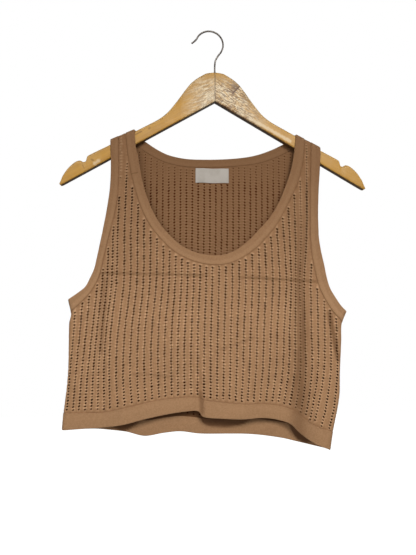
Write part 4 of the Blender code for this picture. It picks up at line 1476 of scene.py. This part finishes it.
    def build(self, pitch: float, seed: int) -> Piece:
        """Triangulate the panel round its eyelets and give it its thickness.

        Args:
            pitch: Distance between eyelets along a column.
            seed: Start of the random draws.

        Returns:
            The panel's mesh.
        """
        grid = EyeletGrid(self.side, pitch)
        outline = self.outline()
        laid = self.lay_out(grid, outline, np.random.default_rng(seed))
        fill, bridge = self.fill(grid, laid, outline)
        flat = np.concatenate([outline, laid.rings.reshape(-1, 2), fill])
        count, inner_from = len(flat), len(flat) - len(fill)
        on_edge = np.arange(count) < len(outline)
        on_rim = ~on_edge & (np.arange(count) < inner_from)
        bridging = np.concatenate([np.zeros(inner_from), bridge])
        corners = np.arange(len(outline), inner_from).reshape(-1, grid.sides)
        loops = np.stack([corners, np.roll(corners, -1, axis=1)], axis=-1).reshape(-1, 2)
        edges = [(i, (i + 1) % len(outline)) for i in range(len(outline))]
        triangles = self.triangles(flat, edges + [tuple(pair) for pair in loops.tolist()], corners)
        x, z = flat.T
        column = grid.column_of(x, z)
        rib = 0.5 - 0.5 * np.cos(2.0 * math.pi * column)
        lift = self.rib * rib + self.bridge_rise * bridging
        lift = np.where(on_edge, -self.edge_drop, np.where(on_rim, -self.rim_dip, lift))
        under = np.where(on_edge | on_rim, self.rim_dip * 0.8, -0.00008 - 0.10 * self.rib * rib)
        middle, out = CLOTH.place(x, z, self.side), CLOTH.normal(x, z, self.side)
        outer = middle + out * (self.half_thickness + lift)[:, None]
        inner = middle - out * (self.half_thickness - under)[:, None]
        points = np.concatenate([outer, inner])
        faces = [tuple(face) for face in triangles.tolist()]
        faces += [tuple(face) for face in (triangles[:, ::-1] + count).tolist()]
        faces += [(end, start, start + count, end + count) for start, end in edges]
        deep_from = len(faces)
        if self.side is Side.FRONT:
            faces += [(start, end, end + count, start + count) for start, end in loops.tolist()]
        else:
            pits, pit_faces = self.pits(laid.rings, loops, count)
            points = np.concatenate([points, pits])
            faces = [face[::-1] for face in faces + pit_faces]
        more = len(points) - 2 * count
        uv = np.stack([column, grid.row_of(x, z)], axis=-1)
        uv = np.concatenate([uv, uv, np.zeros((more, 2))])
        numbers, deep = self.shades(x, z, bridging + self.rim_highlight * on_rim, self.edge_shade * on_edge)
        numbers = {key: np.concatenate([row, np.zeros(more)]) for key, row in numbers.items()}
        deep = np.concatenate([np.zeros(count), deep, np.ones(more)])
        return Piece(self.name, points, faces, uv, numbers, deep, deep_from)

    def triangles(self, flat: np.ndarray, edges: list[tuple[int, int]], corners: np.ndarray) -> np.ndarray:
        """Triangulate the flat pattern and leave the eyelets open.

        Args:
            flat: Rows of x, z.
            edges: Pairs of points that have to be joined.
            corners: The points of each eyelet's ring.

        Returns:
            Rows of three points.
        """
        made = delaunay_2d_cdt([Vector(point) for point in flat.tolist()], edges, [], 1, 1e-7)
        if len(made[0]) != len(flat):
            raise RuntimeError(f"{self.name}: {len(flat)} points became {len(made[0])}")
        triangles = np.array(made[2])
        owner = np.full(len(flat), -1)
        owner[corners] = np.arange(len(corners))[:, None]
        first, second, third = owner[triangles].T
        return triangles[~((first >= 0) & (first == second) & (second == third))]

    def shades(self, x: np.ndarray, z: np.ndarray, pale: np.ndarray, shade: np.ndarray) -> tuple:
        """What the finish reads at each point of the outer and then of the inner face.

        Args:
            x: Pattern x of each point.
            z: Pattern z of each point.
            pale: How much painted highlight lies on the outer face.
            shade: How much painted shade lies along the edge.

        Returns:
            The numbers by name, and the deepest shade on the inner face.
        """
        if self.side is Side.FRONT:
            shade = np.maximum(shade, 0.72 * SHADE.right_step(x, z))
            hidden, deep = np.ones(len(x)), np.zeros(len(x))
        else:
            hidden = np.maximum(SHADE.under_front_hem(x, z), SHADE.beside_neck(x, z))
            deep = SHADE.inside_back(x, z)
        inside = np.maximum(shade, np.maximum(INSIDE_SHADE, hidden))
        numbers = {
            "pale_yarn": np.concatenate([pale, 0.35 * pale]),
            "shaded_yarn": np.concatenate([shade, inside]),
            "inside": np.repeat([0.0, 1.0], len(x)),
        }
        return numbers, deep

    def pits(self, rings: np.ndarray, loops: np.ndarray, count: int) -> tuple[np.ndarray, list]:
        """Close each eyelet halfway through, as a dark pit on either face: a sheet of painted shade where an
        open eyelet would show only shade.

        Args:
            rings: The eyelets' rings as an array of eyelet, corner, x and z.
            loops: Pairs of points along the rings, numbered on the outer face.
            count: How many points a face of the panel has.

        Returns:
            The bottoms of the outer and then of the inner pits, and the pits' faces.
        """
        centre = rings.mean(axis=1)
        middle = CLOTH.place(centre[:, 0], centre[:, 1], self.side)
        out = CLOTH.normal(centre[:, 0], centre[:, 1], self.side) * self.web
        sides = rings.shape[1]
        faces = []
        for index, (start, end) in enumerate(loops.tolist()):
            bottom = 2 * count + index // sides
            faces.append((start, end, bottom))
            faces.append((end + count, start + count, bottom + len(rings)))
        return np.concatenate([middle + out, middle - out]), faces


@dataclass
class KnitBand:
    """A plain knitted band: a rounded strip through cuts across it."""

    name: str
    node: str
    half_thickness: float = 0.00115
    inside_shade: float = INSIDE_SHADE
    seam_shade: float = 0.60
    hem_shade: float = 0.64
    pale_run: float = 0.13
    in_neck: bool = False

    def profile(self) -> list[tuple[float, float, float]]:
        """The cut across: distance from the free edge, distance from the seam, height.

        Returns:
            Rows of share of the width, inset from the nearer edge, and height as a
            share of the half thickness, on the outer face and then on the inner.
        """
        face = [
            (0.0, 0.0, 0.0), (0.0, 0.00025, 0.60), (0.0, 0.00080, 0.90), (0.0, 0.00170, 1.0),
            (0.20, 0.0, 1.04), (0.33, 0.0, 1.06), (0.45, 0.0, 1.06), (0.56, 0.0, 1.06),
            (0.67, 0.0, 1.06), (0.78, 0.0, 1.06), (0.88, 0.0, 1.06), (1.0, 0.00190, 1.04),
            (1.0, 0.00100, 1.10), (1.0, 0.00040, 0.78), (1.0, 0.0, 0.10),
        ]
        return face + [(share, inset, -height) for share, inset, height in face[-1:0:-1]]

    def build(self, runs: list[tuple[Side, np.ndarray]], closed: bool) -> Piece:
        """Sweep the profile along the cuts.

        Args:
            runs: Cuts for each side in turn: free x, free z, seam x, seam z.
            closed: Whether the band is a ring.

        Returns:
            The band's mesh.
        """
        groups: dict[str, list[np.ndarray]] = {}
        along, last = 0.0, None
        for side, rows in runs:
            free, seam = rows[:, :2], self.drawn_back(rows)
            middles = CLOTH.place(*(0.5 * (free + seam)).T, side)
            last = middles[0] if last is None else last
            steps = np.linalg.norm(np.diff(np.vstack([last, middles]), axis=0), axis=1)
            lengths = along + np.cumsum(steps)
            along, last = lengths[-1], middles[-1]
            for key, values in self.cuts(side, free, seam, lengths).items():
                groups.setdefault(key, []).append(values)
        numbers = {key: np.concatenate(values) for key, values in groups.items()}
        points, uv = numbers.pop("points"), numbers.pop("map")
        faces = loft_faces(*points.shape[:2], closed)
        numbers = {key: values.reshape(-1) for key, values in numbers.items()}
        return Piece(self.name, points.reshape(-1, 3), faces, uv.reshape(-1, 2), numbers)

    def cuts(self, side: Side, free: np.ndarray, seam: np.ndarray, lengths: np.ndarray) -> dict:
        """The profile at every cut of a run.

        Args:
            side: Front or back.
            free: The free edge, rows of x, z.
            seam: The seam's edge, rows of x, z.
            lengths: How far along the band each cut is.

        Returns:
            By name, arrays of cut and corner: the points, the texture map and the
            numbers that the finish reads.
        """
        width = np.linalg.norm(seam - free, axis=1)
        found = {key: [] for key in ("points", "map", "shaded_yarn", "pale_yarn", "deep")}
        for share, inset, height in self.profile():
            across = share + np.where(share < 0.5, inset, -inset) / width
            x, z = (free + (seam - free) * across[:, None]).T
            spot, out = CLOTH.place(x, z, side), CLOTH.normal(x, z, side)
            found["points"].append(spot + out * height * self.half_thickness)
            found["map"].append(np.stack([across * width, lengths], axis=-1))
            by_seam = share == 1.0 and inset < 0.0006
            tone = self.seam_shade if by_seam else self.inside_shade if height < 0.0 else 0.0
            shade = np.full(len(x), tone)
            behind = height < 0.0 and side is Side.BACK
            if side is Side.FRONT:
                shade = np.maximum(shade, 0.60 * SHADE.right_step(x, z))
            if behind and self.in_neck:
                shade = np.maximum(shade, SHADE.beside_neck(x, z))
            found["shaded_yarn"].append(shade)
            found["pale_yarn"].append(np.full(len(x), self.pale_run * (0.5 < share < 0.8)))
            found["deep"].append(self.hem_shade * behind * SHADE.under_front_hem(x, z))
        return {key: np.stack(values, axis=1) for key, values in found.items()}

    def drawn_back(self, rows: np.ndarray) -> np.ndarray:
        """The seam's edge, half a gap back from the seam line.

        Args:
            rows: Cuts across the band: free x, free z, seam x, seam z.

        Returns:
            Rows of x, z.
        """
        free, seam = rows[:, :2], rows[:, 2:]
        along = np.gradient(seam, axis=0)
        along /= np.linalg.norm(along, axis=1, keepdims=True)
        across = free - seam
        across /= np.linalg.norm(across, axis=1, keepdims=True)
        sine = np.abs(along[:, 0] * across[:, 1] - along[:, 1] * across[:, 0])
        return seam + across * (0.5 * SEAM_GAP / sine)[:, None]


@dataclass
class Label:
    """The bare woven label on the inside of the back panel."""

    name: str
    node: str
    left: float = -0.0193
    right: float = 0.0297
    bottom: float = -0.2255
    top: float = -0.2040
    thickness: float = 0.0006
    clearance: float = 0.0011
    wave: float = 0.0003
    puff: float = 0.0004
    fold: float = 0.00025
    fold_share: float = 0.05
    columns: int = 44
    rows: int = 20

    def build(self) -> Piece:
        """Lay the label along the panel, with its edges folded and slightly lifted.

        Returns:
            The label's mesh.
        """
        across, up = np.meshgrid(np.linspace(0, 1, self.columns + 1), np.linspace(0, 1, self.rows + 1))
        across, up = across.ravel(), up.ravel()
        x = self.left + (self.right - self.left) * across
        z = self.bottom + (self.top - self.bottom) * up + self.wave * np.sin(9.0 * across)
        middle, out = CLOTH.place(x, z, Side.BACK), CLOTH.normal(x, z, Side.BACK)
        puff = self.puff * np.sin(math.pi * up) * np.sin(math.pi * across) ** 0.5
        folded = self.fold * ((across < self.fold_share) | (across > 1.0 - self.fold_share))
        far = middle - out * self.clearance
        near = middle - out * (self.clearance + self.thickness + puff + folded)[:, None]
        width, count = self.columns + 1, len(x)
        corners = [j * width + i for j in range(self.rows) for i in range(self.columns)]
        squares = [(at, at + 1, at + width + 1, at + width) for at in corners]
        around = [*range(width), *range(2 * width - 1, count, width)]
        around += [*range(count - 2, self.rows * width - 1, -1), *range((self.rows - 1) * width, 0, -width)]
        faces = squares + [tuple(i + count for i in reversed(square)) for square in squares]
        pairs = zip(around, around[1:] + around[:1])
        faces += [(end, start, start + count, end + count) for start, end in pairs]
        return Piece(self.name, np.concatenate([near, far]), faces)


# ---------------------------------------------------------------- the garment


# Painted shade: creases and a slope as thin dark lines, and the join across the neckband
PANEL_CREASE_SHADE = (
    Stroke((-0.1630, -0.3606), (-0.0100, -0.3632), 0.0032, 0.40),
    Stroke((0.0450, -0.3660), (0.1780, -0.3724), 0.0034, 0.42),
    Stroke((0.1755, -0.4170), (0.1880, -0.4840), 0.0052, 0.60),
    Stroke((-0.0128, -0.5300), (-0.0108, -0.5600), 0.0044, 0.45),
    Stroke((-0.1080, -0.5025), (-0.0500, -0.5075), 0.0030, 0.22),
    Stroke((0.0080, -0.4720), (0.0640, -0.4520), 0.0030, 0.22),
    Stroke((-0.1500, -0.3700), (-0.1530, -0.4700), 0.0070, 0.30),
)
BAND_CREASE_SHADE = (
    Stroke((-0.1030, -0.2152), (-0.1172, -0.2186), 0.0011, 0.60),
    Stroke((-0.0118, -0.5380), (-0.0108, -0.5560), 0.0050, 0.40),
)


@dataclass
class TankTop:
    """The knitted garment: two eyelet panels, their bands and the label."""

    eyelet_pitch: float = 0.00425
    band_step: float = 0.0030
    wale_width: float = 0.0014
    course_height: float = 0.0015

    def build(self) -> None:
        """Build and dress every knitted piece."""
        self.build_panels()
        self.build_bands()
        self.build_label()

    def build_panels(self) -> None:
        """Build and dress the front and the back."""
        knit = KnitFinish("eyelet_knit_finish", GROUND, 6.0, 3.0, PANEL_CREASE_SHADE, purl_rows=0.35).material()
        front = EyeletPanel("front_panel_knit", "front_panel", Side.FRONT, closed_columns=(7.0, 40.0))
        back = EyeletPanel("back_panel_knit", "back_panel", Side.BACK, rib_shares=())
        for panel, seed in ((front, 3), (back, 5)):
            made = panel.build(self.eyelet_pitch, seed).dress(knit, panel.node, "knit")

    def build_bands(self) -> None:
        """Build and dress the five bands."""
        wales, courses = 1 / self.wale_width, 1 / self.course_height
        jersey = KnitFinish("jersey_band_finish", BAND, wales, courses, BAND_CREASE_SHADE).material()
        step = self.band_step
        neck = KnitBand("neckband_knit", "neckband", in_neck=True)
        front, back = neckband_rows(Side.FRONT, step), neckband_rows(Side.BACK, step)
        piece = neck.build([(Side.FRONT, front), (Side.BACK, back[-2:0:-1])], closed=True)
        made = piece.dress(jersey, neck.node, "band")
        for hand in Hand:
            label = hand.name.lower()
            band = KnitBand(f"armhole_band_{label}_knit", f"armhole_band_{label}")
            rows = armhole_rows(hand, step)
            piece = band.build([(Side.FRONT, rows), (Side.BACK, rows[-2:0:-1])], closed=True)
            made = piece.dress(jersey, band.node, "band")
        for side in Side:
            label = side.name.lower()
            band = KnitBand(f"hem_band_{label}_knit", f"hem_band_{label}", inside_shade=0.10, pale_run=0.04)
            piece = band.build([(side, hem_rows(side, step))], closed=False)
            made = piece.dress(jersey, band.node, "band")

    def build_label(self) -> None:
        """Build and dress the label, sewn flat to the back under the neckband."""
        label = Label("label_woven", "label")
        made = label.build().dress(WovenFinish("woven_label_finish").material(), label.node, "label")


# ---------------------------------------------------------------- the hanger


# Distance out from the joint, z of the top edge, rise of the bottom edge
ARM_TOP = (
    (0.0000, -0.0622, 0.0), (0.0120, -0.0640, 0.0), (0.0180, -0.0670, 0.0), (0.0285, -0.0738, 0.0),
    (0.0360, -0.0805, 0.0), (0.0440, -0.0907, 0.0), (0.0510, -0.1006, 0.0), (0.0590, -0.1115, 0.0),
    (0.0700, -0.1247, 0.0), (0.0820, -0.1344, 0.0), (0.1030, -0.1462, 0.0), (0.1175, -0.1541, 0.0),
    (0.1520, -0.1737, 0.0), (0.1835, -0.1903, 0.0), (0.1850, -0.1925, 0.0), (0.1868, -0.1985, 0.0),
    (0.1905, -0.1998, 0.0), (0.1945, -0.1978, 0.0), (0.2010, -0.1995, 0.0), (0.2110, -0.2083, 0.0),
    (0.2190, -0.2200, 0.0002), (0.2218, -0.2275, 0.0010), (0.2232, -0.2320, 0.0026),
)


LEFT_MARKS = (
    Stroke((-0.1595, -0.1985), (-0.1655, -0.2025), 0.0034, 0.50, True),
    Stroke((-0.1675, -0.1976), (-0.1695, -0.1968), 0.0022, 0.45),
    Stroke((-0.1823, -0.2051), (-0.1801, -0.2095), 0.0013, 0.35),
    Stroke((-0.1071, -0.1590), (-0.0984, -0.1544), 0.0011, 0.60),
    Stroke((-0.0880, -0.1498), (-0.0858, -0.1488), 0.0014, 0.50),
)
RIGHT_MARKS_AND_PAINTED_LIGHT = (
    Stroke((0.0400, -0.0805), (0.0345, -0.0905), 0.0052, 0.35),
    Stroke((0.0450, -0.0830), (0.0348, -0.0944), 0.0016, 1.00),
    Stroke((0.0174, -0.1138), (0.0306, -0.1164), 0.0022, 0.70),
    Stroke((0.0430, -0.1243), (0.0513, -0.1262), 0.0034, 0.40, True),
    # Painted highlight along the lower third of the arm
    Stroke((0.0602, -0.1315), (0.1195, -0.1639), 0.0034, 0.55, True),
    # Painted shade along the bottom edge
    Stroke((0.0105, -0.1086), (0.1250, -0.1750), 0.0036, 0.62),
)


@dataclass
class HangerArm:
    """One wooden arm, from the centre joint to its tip."""

    hand: Hand
    centre_x: float = 0.0086
    half_thickness: float = 0.0060
    top_rounding: float = 0.0040
    bottom_rounding: float = 0.0025
    slope: float = math.radians(30.0)
    apex_z: float = -0.1070
    bore_radius: float = 0.0016
    bore_end_z: float = -0.0830
    bore_depth: float = 0.060
    step: float = 0.0014
    corner_points: int = 6

    def ring(self, top: float, bottom: float) -> tuple[np.ndarray, np.ndarray]:
        """The rounded outline of a cut across the arm.

        Args:
            top: Height of the top edge.
            bottom: Height of the bottom edge.

        Returns:
            The y and the z of its points.
        """
        ys, zs = [], []
        turns = np.linspace(0.0, 0.5 * math.pi, self.corner_points)
        for side_y, side_z, rounding in (
            (1, 1, self.top_rounding),
            (-1, 1, self.top_rounding),
            (-1, -1, self.bottom_rounding),
            (1, -1, self.bottom_rounding),
        ):
            reach_z = min(rounding / math.cos(self.slope), 0.45 * (top - bottom))
            reach_y = min(rounding, 1.6 * reach_z)
            turn = turns if side_y * side_z > 0 else turns[::-1]
            ys.append(side_y * (self.half_thickness - reach_y * (1.0 - np.cos(turn))))
            edge_z = top if side_z > 0 else bottom
            zs.append(edge_z - side_z * reach_z * (1.0 - np.sin(turn)))
        return np.concatenate(ys), np.concatenate(zs)

    def build(self) -> Piece:
        """Loft the arm through close cuts.

        Returns:
            The arm's mesh, before the hook's bore.
        """
        path = along_path(list(ARM_TOP), self.step)
        rings = []
        for out, top, rise in path:
            y, z = self.ring(top, self.apex_z - math.tan(self.slope) * out + rise)
            x = np.full(len(y), self.centre_x + self.hand.value * out)
            rings.append(np.stack([x, y, z], axis=-1))
        faces = loft_faces(len(rings), len(rings[0]), closed=False)
        if self.hand is Hand.LEFT:
            faces = [face[::-1] for face in faces]
        points = np.concatenate(rings)
        return Piece(f"hanger_arm_{self.hand.name.lower()}_wood", points, faces, None, self.marks(points))

    def marks(self, points: np.ndarray) -> dict[str, np.ndarray]:
        """Painted shade on the underside and in the joint, and a paler line below the top edge.

        Args:
            points: The arm's points.

        Returns:
            A number for each point under the names that the finish reads.
        """
        out = self.hand.value * (points[:, 0] - self.centre_x)
        top = Curve(tuple((row[0], row[1]) for row in ARM_TOP))(out)
        bottom = self.apex_z - math.tan(self.slope) * out
        # Painted shade on the underside and in the joint between the arms
        underside = 0.90 * smooth((bottom + 0.0010 - points[:, 2]) / 0.0008)
        joint = 0.65 * smooth(1.0 - out / 0.0009)
        edge = 0.20 * smooth(1.0 - np.abs(points[:, 2] - top + 0.0030) / 0.0022)
        return {"dark_wood": np.maximum(underside, joint), "pale_wood": edge}

    def drill(self, arm: bpy.types.Object) -> None:
        """Cut the hook's bore into the arm's end.

        Args:
            arm: The arm, which is changed in place.
        """
        mesh = bpy.data.meshes.new("bore")
        shape = bmesh.new()
        bore_middle = (self.centre_x, 0.0, self.bore_end_z + 0.5 * self.bore_depth)
        bmesh.ops.create_cone(
            shape,
            cap_ends=True,
            segments=32,
            radius1=self.bore_radius,
            radius2=self.bore_radius,
            depth=self.bore_depth,
            matrix=Matrix.Translation(bore_middle),
        )
        shape.to_mesh(mesh)
        shape.free()
        cutter = bpy.data.objects.new("bore", mesh)
        bpy.context.scene.collection.objects.link(cutter)
        cut = arm.modifiers.new("bore", "BOOLEAN")
        cut.object = cutter
        cut.operation = "DIFFERENCE"
        graph = bpy.context.evaluated_depsgraph_get()
        drilled = bpy.data.meshes.new_from_object(arm.evaluated_get(graph))
        arm.modifiers.clear()
        arm.data = drilled
        bpy.data.objects.remove(cutter)


@dataclass
class Hook:
    """The bent wire hook."""

    radius: float = 0.00125
    bend_radius: float = 0.0206
    bend_x: float = 0.0005
    bend_z: float = -0.0193
    stem_x: float = 0.0086
    end_z: float = -0.0820
    sides: int = 20
    step: float = 0.0009

    def route(self) -> np.ndarray:
        """The wire's middle line, from its tip down into the hanger.

        Returns:
            Rows of x, z.
        """
        turns = np.radians(np.linspace(158.0, -32.0, 11))
        bend_x = self.bend_x + self.bend_radius * np.cos(turns)
        bend_z = self.bend_z + self.bend_radius * np.sin(turns)
        rows = [(-0.0260, -0.0183), (-0.0225, -0.0157), *zip(bend_x, bend_z)]
        rows += [(0.0139, -0.0357), (0.0101, -0.0425), (0.0088, -0.0490)]
        rows += [(self.stem_x, -0.0600), (self.stem_x, self.end_z)]
        return along_path(rows, self.step)

    def build(self) -> Piece:
        """Sweep a round wire with a rounded tip along the route.

        Returns:
            The hook's mesh.
        """
        route = self.route()
        along = np.gradient(route, axis=0)
        along /= np.linalg.norm(along, axis=1, keepdims=True)
        side = np.stack([-along[:, 1], along[:, 0]], axis=-1)
        turns = 2.0 * math.pi * np.arange(self.sides) / self.sides
        starts = [(0.0, 0.25), (0.12, 0.62), (0.35, 0.88), (0.70, 1.0)]
        rings = []
        for back, share in starts:
            centre = route[0] + along[0] * back * self.radius
            rings.append(self.ring(centre, side[0], share * self.radius, turns))
        rings += [self.ring(route[i], side[i], self.radius, turns) for i in range(2, len(route))]
        faces = [face[:1] + face[:0:-1] for face in loft_faces(len(rings), self.sides, closed=False)]
        return Piece("hook_wire", np.concatenate(rings), faces)

    def ring(self, centre: np.ndarray, side: np.ndarray, radius: float, turns: np.ndarray) -> np.ndarray:
        """One round cut of the wire, as rows of x, y, z."""
        flat = centre + radius * np.cos(turns)[:, None] * side
        return np.stack([flat[:, 0], radius * np.sin(turns), flat[:, 1]], axis=-1)


@dataclass
class Hanger:
    """The wooden hanger: two arms joined at the middle and a wire hook."""

    grain_slope: float = math.radians(30.0)

    def finish(self, hand: Hand) -> WoodFinish:
        """The wood of one arm, with its marks.

        Args:
            hand: Which arm.

        Returns:
            The finish.
        """
        if hand is Hand.LEFT:
            return WoodFinish("wood_left_finish", self.grain_slope, -0.006, -0.042, 0.50, LEFT_MARKS)
        return WoodFinish("wood_right_finish", -self.grain_slope, 0.048, 0.092, 0.80, RIGHT_MARKS_AND_PAINTED_LIGHT)

    def build(self) -> None:
        """Build and dress the arms and the hook."""
        for hand in Hand:
            label = hand.name.lower()
            arm = HangerArm(hand)
            wood = self.finish(hand).material()
            made = arm.build().dress(wood, f"hanger_arm_{label}", "wood", sharp=45.0)
            arm.drill(made)
        Hook().build().dress(SteelFinish("steel_wire_finish").material(), "hook", "steel")


# ---------------------------------------------------------------- the studio


@dataclass(frozen=True)
class Lamp:
    """A soft square lamp. Its power is in watts and its beam's angle in degrees."""

    name: str
    at: tuple[float, float, float]
    towards: tuple[float, float, float]
    power: float
    side: float
    beam: float = 180.0

    def build(self) -> None:
        """Hang the lamp and turn it to what it faces."""
        lamp = bpy.data.lights.new(self.name, "AREA")
        lamp.energy = self.power
        lamp.size = self.side
        lamp.spread = math.radians(self.beam)
        made = bpy.data.objects.new(self.name, lamp)
        made.location = self.at
        towards = Vector(self.towards) - Vector(self.at)
        made.rotation_euler = towards.to_track_quat("-Z", "Y").to_euler()
        bpy.context.scene.collection.objects.link(made)


LAMPS = (
    Lamp("key", (0.26, -1.38, 0.30), (0.0, 0.0, -0.60), 5.1, 0.50, 106.0),
    Lamp("fill", (-0.80, -1.50, -0.10), (0.0, 0.0, -0.50), 5.2, 1.00),
    Lamp("rear_left", (-1.00, 1.20, 0.30), (0.0, 0.0, -0.40), 7.0, 1.20),
    Lamp("rear_right", (1.00, 1.20, 0.30), (0.0, 0.0, -0.40), 9.0, 1.20),
)


@dataclass
class Studio:
    """Floor, light and camera."""

    camera_at: tuple[float, float, float] = (-0.0605, -0.8463, -0.4176)
    camera_towards: tuple[float, float, float] = (0.0696, 0.9957, 0.0610)
    lens: float = 38.02
    floor_z: float = -1.60
    floor_size: float = 6.0
    floor_glow: float = 1.00
    surround_light: float = 0.17

    def build(self) -> None:
        """Set the floor, the lights, the world and the camera."""
        self.build_floor()
        for lamp in LAMPS:
            lamp.build()
        self.build_world()
        self.build_camera()

    def build_floor(self) -> None:
        """A plain pale floor well below the garment."""
        shape = bmesh.new()
        bmesh.ops.create_grid(shape, x_segments=1, y_segments=1, size=self.floor_size)
        mesh = bpy.data.meshes.new("floor")
        shape.to_mesh(mesh)
        shape.free()
        graph = NodeGraph("floor_finish")
        cloud = graph.noise(graph.coordinates("Object"), 1.5)
        seen = graph.node("ShaderNodeLightPath").outputs["Is Camera Ray"]
        finish = graph.surface(
            {
                "Base Color": graph.layer(rgba((0.90, 0.90, 0.90)), (0.94, 0.94, 0.94), cloud),
                "Roughness": 0.9,
                "Emission Color": rgba((1.0, 1.0, 1.0)),
                "Emission Strength": graph.math("MULTIPLY", seen, self.floor_glow),
            }
        )
        mesh.materials.append(finish)
        floor = bpy.data.objects.new("floor", mesh)
        floor.location = (0.0, 0.0, self.floor_z)
        bpy.context.scene.collection.objects.link(floor)

    def build_world(self) -> None:
        """An even white surround."""
        world = bpy.data.worlds.new("surround")
        world.use_nodes = True
        background = world.node_tree.nodes["Background"]
        background.inputs["Color"].default_value = (1.0, 1.0, 1.0, 1.0)
        path = world.node_tree.nodes.new("ShaderNodeLightPath")
        level = world.node_tree.nodes.new("ShaderNodeMapRange")
        level.inputs["To Min"].default_value = self.surround_light
        level.inputs["To Max"].default_value = 1.0
        world.node_tree.links.new(path.outputs["Is Camera Ray"], level.inputs["Value"])
        world.node_tree.links.new(level.outputs[0], background.inputs["Strength"])
        bpy.context.scene.world = world
        bpy.context.scene.view_settings.view_transform = "Standard"

    def build_camera(self) -> None:
        """The camera, at the photograph's angle."""
        data = bpy.data.cameras.new("camera")
        data.lens = self.lens
        data.sensor_fit = "VERTICAL"
        data.sensor_height = 36.0
        data.clip_start = 0.01
        camera = bpy.data.objects.new("camera", data)
        camera.location = self.camera_at
        camera.rotation_euler = Vector(self.camera_towards).to_track_quat("-Z", "Y").to_euler()
        bpy.context.scene.collection.objects.link(camera)
        bpy.context.scene.camera = camera


def clear_startup() -> None:
    """Remove what Blender's startup file puts in the scene."""
    for name in ("Cube", "Light", "Camera"):
        if name in bpy.data.objects:
            bpy.data.objects.remove(bpy.data.objects[name])


def main() -> None:
    """Build the garment and its hanger in order."""
    logging.basicConfig(level=logging.INFO, format="%(name)s %(message)s")
    clear_startup()
    Studio().build()
    TankTop().build()
    Hanger().build()


if __name__ == "__main__":
    main()
